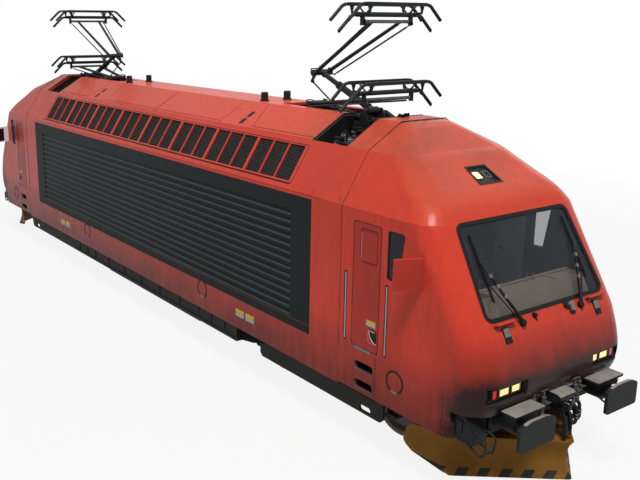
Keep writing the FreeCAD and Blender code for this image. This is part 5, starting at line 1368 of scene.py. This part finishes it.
# %% [markdown]
# ## Buffers, beam and brake pipes
# The buffer plates are held by four bolts each, and their treads are studded so that a wet
# boot doesn't slip. Grey stop cocks with lever handles feed the brake hoses.

# %% Studs on the treads and bolts on the beam
studs, bolts, facing = [], [], []
for end in ENDS:
    for y in SIDES:
        for i in range(7):
            for k in range(19):
                along, across = 8.895 + i * 0.0305 + (0.007 if k % 2 else 0), 0.575 + k * 0.0285
                studs.append(turned(up(along, y * across, 1.275), end))
        for dy in (-0.16, 0.16):
            for dz in (-0.14, 0.12):
                bolts.append(turned(up(8.675, y * BUFFER_ACROSS + dy, BUFFER_UP + dz), end))
    for dy in (-0.13, 0.13):
        for dz in (-0.12, 0.045):
            bolts.append(turned(up(8.670, dy, BUFFER_UP + dz), end))
    facing += [Vector((end, 0, 0))] * 12
grown("tread_studs", rivets, studs, zinc_grey, facing=[Vector((0, 0, 1))] * len(studs),
      Radius=0.0085, Height=0.0022, Segments=6)
grown("beam_bolts", rivets, bolts, steel_dark, facing=facing, Radius=0.019, Height=0.016, Segments=6)

# %% Stop cocks, hose clamps and the coupling screw
COCK_UP, BEAM_FRONT = 0.980, 8.640
COCK = [(0, 0), (0.056, 0), (0.056, 0.018), (0.044, 0.022), (0.044, 0.045), (0.053, 0.05), (0.053, 0.085),
        (0.040, 0.09), (0.035, 0.125), (0, 0.125)]
STEM = [(0, 0.945), (0.027, 0.945), (0.027, 1.02), (0.017, 1.03), (0.017, 1.12), (0.033, 1.13), (0.033, 1.150),
        (0.025, 1.155), (0.025, 1.235), (0.032, 1.24), (0.032, 1.258), (0.015, 1.266), (0.015, 1.31),
        (0.011, 1.315), (0.011, 1.345), (0, 1.345)]
HANDLE_UP, LEVER_UP = 1.342, 1.198
SCREW_TURN = 75.4           # angle of the coupling screw's thread from end to end


def add_clamp(bm, place, outer):
    """Thin band round a hose."""
    add_turned(bm, place, [(0.024, -0.006), (outer, -0.006), (outer, 0.006), (0.024, 0.006)], 20, True)


cocks, clamps, screw = new_meshes(3)
for turn in TURNS:
    for y, shorter in ((0.325, 0.0), (0.470, 0.040)):
        for side in SIDES:
            across = side * y
            upright = Matrix.Rotation(math.pi / 2, 4, "Y")
            add_turned(cocks, turn @ Matrix.Translation(up(8.645, across, COCK_UP)) @ upright, COCK, 18)
            reach = 8.905 - shorter
            add_turned(cocks, turn @ Matrix.Translation(up(reach, across, 0.0)), STEM, 20)
            add_bar(cocks, [turn @ up(reach, across + dy, HANDLE_UP) for dy in (-0.066, 0.066)], 0.010, 10)
            add_bar(cocks, [turn @ up(reach + dx, across, LEVER_UP) for dx in (-0.02, 0.070)], 0.022, 12)
            add_bar(cocks, [turn @ up(reach + 0.07, across + dy, LEVER_UP) for dy in (-0.045, 0.045)],
                    0.010, 8)
            for x in (8.800, 8.830):
                add_clamp(clamps, turn @ Matrix.Translation(up(x, across, COCK_UP)) @ upright, 0.0285)
            for z in (0.855, 0.815):
                hose = BEAM_FRONT + (0.330 if y < 0.4 else 0.280) - 0.006
                add_clamp(clamps, turn @ Matrix.Translation(up(hose, across, z)), 0.028)
    start, finish = up(9.020, 0, 0.955), up(9.055, 0, 0.760)
    thread = []
    for k in range(97):
        angle = k / 96 * SCREW_TURN
        round_core = Vector((0.021 * math.cos(angle), 0.021 * math.sin(angle), 0))
        thread.append(turn @ (start.lerp(finish, k / 96) + round_core))
    add_bar(screw, thread, 0.006, 6)
    add_bar(screw, [turn @ start, turn @ finish], 0.020, 14)
finished("stop_cocks", cocks, cock_grey)
finished("hose_clamps", clamps, rail_steel)
finished("coupling_screw", screw, steel_dark)

# %% Trim of the corner steps, and the brackets behind them
steps, backing = new_meshes(2)
for turn in TURNS:
    side_face = turn @ side_at(1.411)
    add_rim(steps, side_face,
            [(8.436, 0.842), (8.500, 0.826), (8.738, 0.826), (8.752, 0.955), (8.600, 1.165), (8.436, 1.165)],
            [(8.452, 0.856), (8.504, 0.842), (8.724, 0.842), (8.736, 0.950), (8.592, 1.149), (8.452, 1.149)],
            -0.004, 0.010)
    add_plate(steps, side_face, soft_box(8.475, 8.560, 0.93, 1.10, 0.012), -0.003, 0.014)
    for x, z, out, radius in ((8.517, 0.965, 0.012, 0.016), (8.517, 1.065, 0.012, 0.016),
                              (8.720, 0.850, 0.008, 0.012), (8.460, 0.865, 0.008, 0.012),
                              (8.452, 1.150, 0.008, 0.012)):
        add_turned(steps, moved(side_face, x, z, out),
                   [(0, 0.008), (0.013 if radius > 0.015 else 0.010, 0.007), (radius, 0), (radius, -0.004)], 6)
    for flip in both_sides(turn):
        add_plate(backing, moved(flip, 8.46, -1.215, RAIL), soft_box(-0.08, 0.10, -0.045, 0.055, 0.01),
                  0.84, 1.26)
        add_plate(backing, moved(flip, 8.60, -0.62, RAIL), rectangle(-0.03, 0.05, -0.56, 0.56), 1.215, 1.295)
        add_plate(backing, flip @ side_at(1.300),
                  [(8.08, 1.02), (8.20, 0.84), (8.44, 0.84), (8.44, 1.24), (8.08, 1.24)], -0.01, 0.01)
finished("corner_step_trim", steps, equipment_black, soften=0.0015)
finished("corner_brackets", backing, steel_dark, soften=0.002)

# %% [markdown]
# ## Bogies
# Real coil springs take the place of the frame's plain spring packs. Each axle box gets a
# round end cover, and a pipe runs along the guard. All of it rides on its bogie.

# %% Coil springs, end covers and pipes on each bogie
AXLES = (-HALF_BASE, HALF_BASE)
for end in ENDS:
    body = END_NAME[end] + "_bogie"
    turn = moved(HALF_TURN[end], BOGIE, 0, RAIL)
    small = [(x + dx, y, 0.502) for x in AXLES for dx in (-0.215, 0.215) for y in (-1.070, 1.070)]
    large = [(dx, y, 0.820) for dx in (-0.33, 0.33) for y in (-1.050, 1.050)]
    one = grown(body + "_axle_springs", coils, small, steel_dark, body, place=turn,
                Turns=4.6, Coil_Radius=0.049, Wire_Radius=0.0105, Height=0.192)
    grown(body + "_main_springs", coils, large, steel_dark, body, place=turn,
          Turns=6.2, Coil_Radius=0.094, Wire_Radius=0.0155, Height=0.360)
    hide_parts(body + "_springs")
    cores, covers = new_meshes(2)
    for x, y, z in small:
        add_turned(cores, moved(turn, x, y, z),
                   [(0, 0), (0.058, 0), (0.058, 0.010), (0.030, 0.012), (0.030, 0.184), (0.058, 0.186),
                    (0.058, 0.195), (0, 0.195)], 20)
    for x, y, z in large:
        add_turned(cores, moved(turn, x, y, z),
                   [(0, 0), (0.108, 0), (0.108, 0.014), (0.060, 0.018), (0.060, 0.372), (0.108, 0.378),
                    (0.108, 0.394), (0, 0.394)], 24)
    for flip in both_sides(turn @ plane((0, -1.185, 0), (1, 0, 0), (0, 0, 1))):
        for x in AXLES:
            add_turned(covers, moved(flip, x, 0.55, 0),
                       [(0, -0.002), (0.118, -0.002), (0.118, 0.004), (0.104, 0.009), (0.050, 0.0095),
                        (0.044, 0.0055), (0, 0.0055)], 32)
        add_bar(covers, [flip @ Vector((a, b, 0.024))
                         for a, b in ((-1.25, 0.665), (-0.75, 0.655), (0.75, 0.655), (1.25, 0.665))], 0.013)
    finished(body + "_spring_seats", cores, equipment_black, body)
    finished(body + "_end_covers", covers, zinc_grey, body)
print("bogies fitted")

# %% [markdown]
# ## Underfloor trim
# The transformer tank has pressed ribs. Upright brackets stand along the solebars, with a
# conduit over their feet.

# %% Tank ribs, solebar brackets and conduits
BRACKETS = (-3.2, -2.75, -2.3, 2.3, 2.75, 3.2, -1.6, -0.8, 0.0, 0.8, 1.6)
ribs, conduits = new_meshes(2)
for turn in TURNS:
    for k in range(13):
        x = -1.8 + k * 0.3
        add_plate(ribs, turn @ side_at(1.230), soft_box(x - 0.018, x + 0.018, 0.345, 0.465, 0.008),
                  -0.003, 0.030)
    for x in BRACKETS:
        add_plate(ribs, turn @ side_at(1.440), soft_box(x - 0.012, x + 0.012, 0.49, 1.18, 0.004),
                  -0.030, 0.014)
    add_bar(conduits, [turn @ up(x, -1.452, 0.515) for x in (-3.5, 3.5)], 0.016)
finished("tank_ribs", ribs, steel_dark)
finished("solebar_conduits", conduits, equipment_black)

# %% [markdown]
# ## Pantographs
# The collector head carries two carbon strips on dark funnels over a stout middle tube. The
# upper arms are drawn tubes in thick sleeves. Copper braids carry the current past each knee.
# Each piece rides on the arm or head that it belongs to; the lowered pair rides on the body.

# %% Strips, tubes, sleeves and braids on all four pantographs
RAISED_KNEE, RAISED_HEAD, RAISED_BASE = (3.9787, 5.0188), (5.4785, 5.8297), (5.225, 4.500)
FOLDED_KNEE, FOLDED_HEAD, FOLDED_BASE = (3.8701, 4.5005), (5.5633, 4.7006), (5.300, 4.330)
GUIDE_PIN = (0.0520, -0.0380)       # from the knee, and from the head, to the guide rod's pin
STRIP, FUNNEL = 0.196, 0.52         # along and across, from the middle of the head


def head_kit(name, head, turn, body):
    """Carbon strips, funnels, tubes and end blocks of one collector head."""
    carbon, tubes, pale = new_meshes(3)
    x, z = head[0], head[1] + RAIL
    top = z + 0.255
    for dx in (-STRIP, STRIP):
        add_plate(carbon, moved(turn, x + dx, 0, top), soft_box(-0.026, 0.026, -0.60, 0.60, 0.012), -0.034,
                  0.0185)
        for side in SIDES:
            horn = [(0.640, 0.0), (0.700, -0.022), (0.755, -0.070), (0.925, -0.228)]
            line = [turn @ Vector((x + dx, side * y, top + rise - 0.010)) for y, rise in horn]
            add_bar(carbon, curve_through(line), 0.026, 12)
            add_turned(tubes, moved(turn, x + dx, side * FUNNEL, top - 0.135),
                       [(0, 0), (0.016, 0), (0.018, 0.03), (0.036, 0.108), (0, 0.108)], 14)
    add_bar(tubes, [turn @ Vector((x, y, z + 0.100)) for y in (-0.60, 0.60)], 0.036, 16)
    for side in SIDES:
        horn = [(0.590, 0.0), (0.700, -0.022), (0.755, -0.072), (0.930, -0.233)]
        add_bar(tubes, curve_through([turn @ Vector((x, side * y, z + 0.100 + rise)) for y, rise in horn]),
                0.025, 12)
        for dx in (-STRIP, STRIP):
            add_bar(tubes, [turn @ Vector((x, side * FUNNEL, z + 0.105)),
                            turn @ Vector((x + dx, side * FUNNEL, z + 0.125))], 0.018)
        block = moved(turn, x, side * 0.485, z - 0.01)
        add_plate(tubes, block, soft_box(-0.032, 0.032, -0.022, 0.022, 0.006), -0.045, 0.110)
    add_bar(pale, [turn @ Vector((x, y, z)) for y in (-0.455, 0.455)], 0.026, 16)
    finished(name + "_carbons", carbon, carbon_black, body, soften=0.003)
    finished(name + "_tubes", tubes, arm_black, body)
    finished(name + "_cross_sleeve", pale, arm_pale, body)


def arm_kit(name, knee, head, turn, upper_body, lower_body, base):
    """Sleeves, braids and collars of one pair of arms."""
    sleeves, braids, collars = new_meshes(3)
    for side in SIDES:
        foot = Vector((knee[0], side * 0.130, knee[1] + RAIL))
        top = Vector((head[0], side * 0.285, head[1] + RAIL))
        add_bar(sleeves, [turn @ foot.lerp(top, t) for t in (0.04, 0.5, 0.955)], 0.033, 16, 0.82)
        loop = [foot + Vector((0.0, side * 0.07, 0.03)), foot + Vector((-0.06, side * 0.05, 0.055)),
                foot + Vector((0.03, side * 0.02, 0.065)), foot + Vector((0.10, side * 0.01, 0.055))]
        add_bar(braids, curve_through([turn @ p for p in loop]), 0.009, 8)
    finished(name + "_arm_sleeves", sleeves, arm_black, upper_body)
    finished(name + "_knee_braids", braids, copper_braid, upper_body)
    root = Vector((base[0], 0, base[1] + RAIL))
    tip = Vector((knee[0], 0, knee[1] + RAIL))
    for t, radius, wide in ((0.06, 0.066, 0.03), (0.60, 0.064, 0.05), (0.93, 0.052, 0.02)):
        at, ahead = root.lerp(tip, t), root.lerp(tip, t + wide)
        add_bar(collars, [turn @ at, turn @ ahead], radius, 20)
    finished(name + "_arm_collars", collars, arm_black, lower_body)


def guide_sleeves(name, knee, head, turn, body):
    """Thin tubes over the two rods that keep the head level."""
    sleeves = bmesh.new()
    for side in SIDES:
        low = Vector((knee[0] + GUIDE_PIN[0], side * 0.236, knee[1] + GUIDE_PIN[1] + RAIL))
        high = Vector((head[0] + GUIDE_PIN[0], side * 0.448, head[1] + GUIDE_PIN[1] + RAIL))
        add_bar(sleeves, [turn @ low.lerp(high, t) for t in (0.03, 0.94)], 0.014, 10)
    finished(name, sleeves, arm_black, body)


carbon_black = cast_metal("carbon_black", rgb(26, 28, 29), rgb(56, 54, 50), 0.3, 300.0, 0.5)
arm_black = cast_metal("arm_black", rgb(30, 33, 34), rgb(60, 58, 54), 0.35, 180.0, 0.46)
arm_pale = cast_metal("arm_pale", rgb(96, 104, 106), rgb(70, 70, 68), 0.3, 180.0, 0.4, 0.4)
for end in ENDS:
    where, turn = END_NAME[end], HALF_TURN[end]
    head_kit(where + "_head_kit", RAISED_HEAD, turn, where + "_head")
    arm_kit(where + "_kit", RAISED_KNEE, RAISED_HEAD, turn, where + "_upper_arm", where + "_lower_arm",
            RAISED_BASE)
    guide_sleeves(where + "_guide_sleeves", RAISED_KNEE, RAISED_HEAD, turn, where + "_guide_rods")
    guide_sleeves(where + "_lowered_guide_sleeves", FOLDED_KNEE, FOLDED_HEAD, turn, "carbody")
    head_kit(where + "_lowered_head", FOLDED_HEAD, turn, "carbody")
    arm_kit(where + "_lowered", FOLDED_KNEE, FOLDED_HEAD, turn, "carbody", "carbody", FOLDED_BASE)
print("pantographs fitted:", 2 * len(ENDS))

# %% [markdown]
# ## In the wells and on the roof
# Beside each pantograph stand post insulators, a switch box and thick cables. The air horns
# stand on the roof in front of the well. The joint between the cab and the body shows as a
# dark line all round.

# %% Insulators, switch boxes, cables and horns
WELL_FLOOR = 3.976 + RAIL
POSTS = ((5.22, 0.56, 0.20), (5.48, 0.66, 0.16), (5.70, 0.52, 0.22), (5.40, 0.86, 0.10))
CABLES = (   # radius, and the route above the well's floor
    (0.013, ((5.22, 0.56, 0.235), (5.33, 0.64, 0.27), (5.48, 0.66, 0.20))),
    (0.013, ((5.48, 0.66, 0.20), (5.62, 0.60, 0.29), (5.70, 0.52, 0.255), (5.72, 0.42, 0.26))),
    (0.016, ((5.62, 0.84, 0.11), (5.52, 0.90, 0.13), (5.40, 0.86, 0.14))))
SHED = 0.015                # height of one shed, or of one waist, of an insulator
sheds, boxes, cables = new_meshes(3)
for turn in TURNS:
    for side in SIDES:
        for x, y, tall in POSTS:
            count = 2 * int(tall / (2 * SHED))
            top = 0.01 + count * SHED
            profile = [(0, 0)] + [(0.044 if k % 2 else 0.028, 0.01 + k * SHED) for k in range(count)]
            add_turned(sheds, moved(turn, x, side * y, WELL_FLOOR),
                       profile + [(0.024, top), (0.024, top + 0.03), (0, top + 0.03)], 18)
        for x, y, long, wide, tall, radius in ((5.62, 0.78, 0.13, 0.09, 0.12, 0.015),
                                               (5.30, 0.72, 0.07, 0.05, 0.17, 0.01)):
            add_plate(boxes, moved(turn, x, side * y, WELL_FLOOR),
                      soft_box(-long, long, -wide, wide, radius), 0, tall)
        for radius, route in CABLES:
            add_bar(cables, curve_through([turn @ Vector((x, side * y, WELL_FLOOR + z)) for x, y, z in route]),
                    radius, 8)
    for y, bell in ((-0.06, 0.04), (0.06, -0.02)):
        horn = turn @ plane((5.90, y, 4.492 + RAIL), (0, 1, 0), (0, 0, 1))
        add_turned(boxes, horn, [(0, -0.03), (0.018, -0.03), (0.020, 0.0), (0.012, 0.01), (0.014, bell),
                                 (0.026, bell + 0.06), (0.030, bell + 0.065), (0.010, bell + 0.03),
                                 (0, bell + 0.03)], 18)
    add_plate(boxes, moved(turn, 5.90, 0, 4.460 + RAIL), soft_box(-0.04, 0.04, -0.09, 0.09, 0.01), -0.004,
              0.022)
finished("well_insulators", sheds, porcelain)
finished("well_boxes", boxes, equipment_black, soften=0.002)
finished("well_cables", cables, rubber_black)

# %% Joint lines round the cabs, the skirt bead and the mirror glass
def mirror_glass():
    """Silvered glass, a little dulled by dirt."""
    material, tree = new_material("mirror_glass")
    haze = noise(tree, coordinates(tree)["Object"], 7.0, 4.0)
    silver = blend_colour(tree, ramp(tree, haze, 0.4, 0.7), rgb(58, 62, 66), rgb(84, 86, 86))
    principled(tree, None, Base_Color=silver, Roughness=ramp(tree, haze, 0.3, 0.7, 0.04, 0.16), Metallic=0.9)
    return material


SEAM = 1.4165               # bead between the body side and the skirt
lines, beads, glass = new_meshes(3)
outline = [(-HALF_WIDTH, 1.42), (-HALF_WIDTH, EAVES), (-SHOULDER_HALF, SHOULDER), (-CROWN_HALF, CROWN),
           (CROWN_HALF, CROWN), (SHOULDER_HALF, SHOULDER), (HALF_WIDTH, EAVES), (HALF_WIDTH, 1.42)]
for turn in TURNS:
    for x, points, radius in ((CAB_JOINT, outline, 0.004), (CAB_JOINT, outline[2:6], 0.008),
                              (ROOF_JOINT + 0.003, outline[2:6], 0.009),
                              (WELL_START - 0.003, outline[2:6], 0.009)):
        for ends in zip(points, points[1:]):
            add_bar(lines, [turn @ up(x, y, z - 0.001) for y, z in ends], radius, 8)
    for side in SIDES:
        for run, radius in (((6.33, 7.3, 8.28), 0.0045), ((-6.30, 6.30), 0.003)):
            add_bar(beads, [turn @ up(x, side * HALF_WIDTH, SEAM) for x in run], radius, 8)
    for flip in both_sides(turn):
        inner, outer = Vector((7.820, -1.520, 2.83)), Vector((7.660, -1.825, 2.83))
        half = (outer - inner).length / 2 - 0.03
        add_plate(glass, flip @ plane((inner + outer) / 2, outer - inner, (0, 0, 1)),
                  soft_box(-half, half, -0.17, 0.17, 0.03), -0.004, 0.0025)
finished("joint_lines", lines, rubber_black)
finished("seam_beads", beads, body_red)
finished("mirror_glasses", glass, mirror_glass())

# %% Plates that close the side between the bogies and the solebars
CLOSING_PLATES = (   # outline, and the depths of its two faces
    (((3.55, 0.80), (3.55, 0.50), (3.62, 0.50), (3.98, 0.56), (4.30, 0.66), (4.30, 0.80)), -0.02, 0.01),
    (((3.60, 0.72), (4.2, 0.72), (4.2, 0.75), (3.60, 0.75)), 0.0, 0.03))
plates = bmesh.new()
for end in ENDS:
    for flip in both_sides(HALF_TURN[end] @ side_at(1.360)):
        for sign in ENDS:
            for shape, low, high in CLOSING_PLATES:
                add_plate(plates, flip, [(sign * a, b) for a, b in shape][::sign], low, high)
    body = END_NAME[end] + "_bogie"
    plug = bmesh.new()
    for flip in both_sides(moved(HALF_TURN[end], BOGIE, 0, 0) @ side_at(1.235)):
        add_plate(plug, flip, soft_box(-1.238, -1.012, 0.360, 0.443, 0.034), -0.034, -0.004)
    finished(body + "_hole_covers", plug, steel_dark, body)
finished("side_closing_plates", plates, steel_dark)

# %% [markdown]
# ## Floor and light
# The locomotive stands on a plain pale floor. One broad lamp overhead and in front gives the
# roof its brightness and leaves the side a step darker, a weaker one fills the side, and the
# pale surroundings do the rest. The floor shows white where nothing shades it.

# %% Floor, surroundings and lamps
WHITE = (1, 1, 1, 1)


def seen_rays(tree):
    """1 for the rays that show the background itself, 0 for those that only gather its light."""
    path = add_node(tree, "ShaderNodeLightPath").outputs
    return plus(tree, path["Is Camera Ray"], plus(tree, path["Is Glossy Ray"], path["Is Transmission Ray"]),
                True)


def make_floor():
    """Pale floor, white to the camera where it is far away."""
    bpy.ops.mesh.primitive_plane_add(size=400, location=(0, 0, 0))
    floor = bpy.context.object
    floor.name = "studio_floor"
    material, tree = new_material("studio_floor")
    diffuse = add_node(tree, "ShaderNodeBsdfDiffuse", None, Color=(0.62, 0.62, 0.62, 1.0))
    distance = add_node(tree, "ShaderNodeVectorMath", {"operation": "LENGTH"},
                        i0=coordinates(tree)["Object"]).outputs["Value"]
    white = add_node(tree, "ShaderNodeEmission", None, Color=WHITE, Strength=1.0)
    share = times(tree, seen_rays(tree), ramp(tree, distance, 11.0, 24.0, 0.88, 1.0))
    mixed = add_node(tree, "ShaderNodeMixShader", None, i0=share, i1=diffuse.outputs[0], i2=white.outputs[0])
    add_node(tree, "ShaderNodeOutputMaterial", None, Surface=mixed.outputs[0])
    floor.data.materials.append(material)
    floor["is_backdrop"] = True


def make_world():
    """White to the camera, and a weak even light on everything else."""
    world = bpy.data.worlds.new("studio")
    bpy.context.scene.world = world
    world.use_nodes = True
    tree = world.node_tree
    tree.nodes.clear()
    around = add_node(tree, "ShaderNodeBackground", None, Color=WHITE, Strength=0.22)
    behind = add_node(tree, "ShaderNodeBackground", None, Color=WHITE, Strength=1.0)
    both = add_node(tree, "ShaderNodeMixShader", None, i0=seen_rays(tree), i1=around.outputs[0],
                    i2=behind.outputs[0])
    add_node(tree, "ShaderNodeOutputWorld", None, Surface=both.outputs[0])


def area_lamp(name, at, aim, size, power):
    """Square soft lamp at a place, pointed at another."""
    lamp = bpy.data.objects.new(name, bpy.data.lights.new(name, "AREA"))
    lamp.data.shape, lamp.data.size, lamp.data.energy = "SQUARE", size, power
    bpy.context.scene.collection.objects.link(lamp)
    lamp.matrix_world = (Matrix.Translation(at)
                         @ (Vector(aim) - Vector(at)).to_track_quat("-Z", "Y").to_matrix().to_4x4())


make_floor()
make_world()
area_lamp("key", (17, -8, 30), (1, 0, 2), 8, 9000)
area_lamp("fill", (4, -28, 10), (1, 0, 2), 14, 500)
area_lamp("far_side", (-6, 24, 16), (0, 0, 2), 14, 900)

# %% [markdown]
# ## View settings and the two boxes
# The picture uses the Standard view transform, so that a colour comes out as it was written.
# The box round the finished model is printed next to the box of the frame. Blender may add
# detail but may not make the locomotive bigger.

# %% Print the two boxes and finish
bpy.context.scene.view_settings.view_transform = "Standard"
boxes = {"cad": [list(v) for v in cad_box], "visual": [list(v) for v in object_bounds()]}
print("boxes:", boxes)
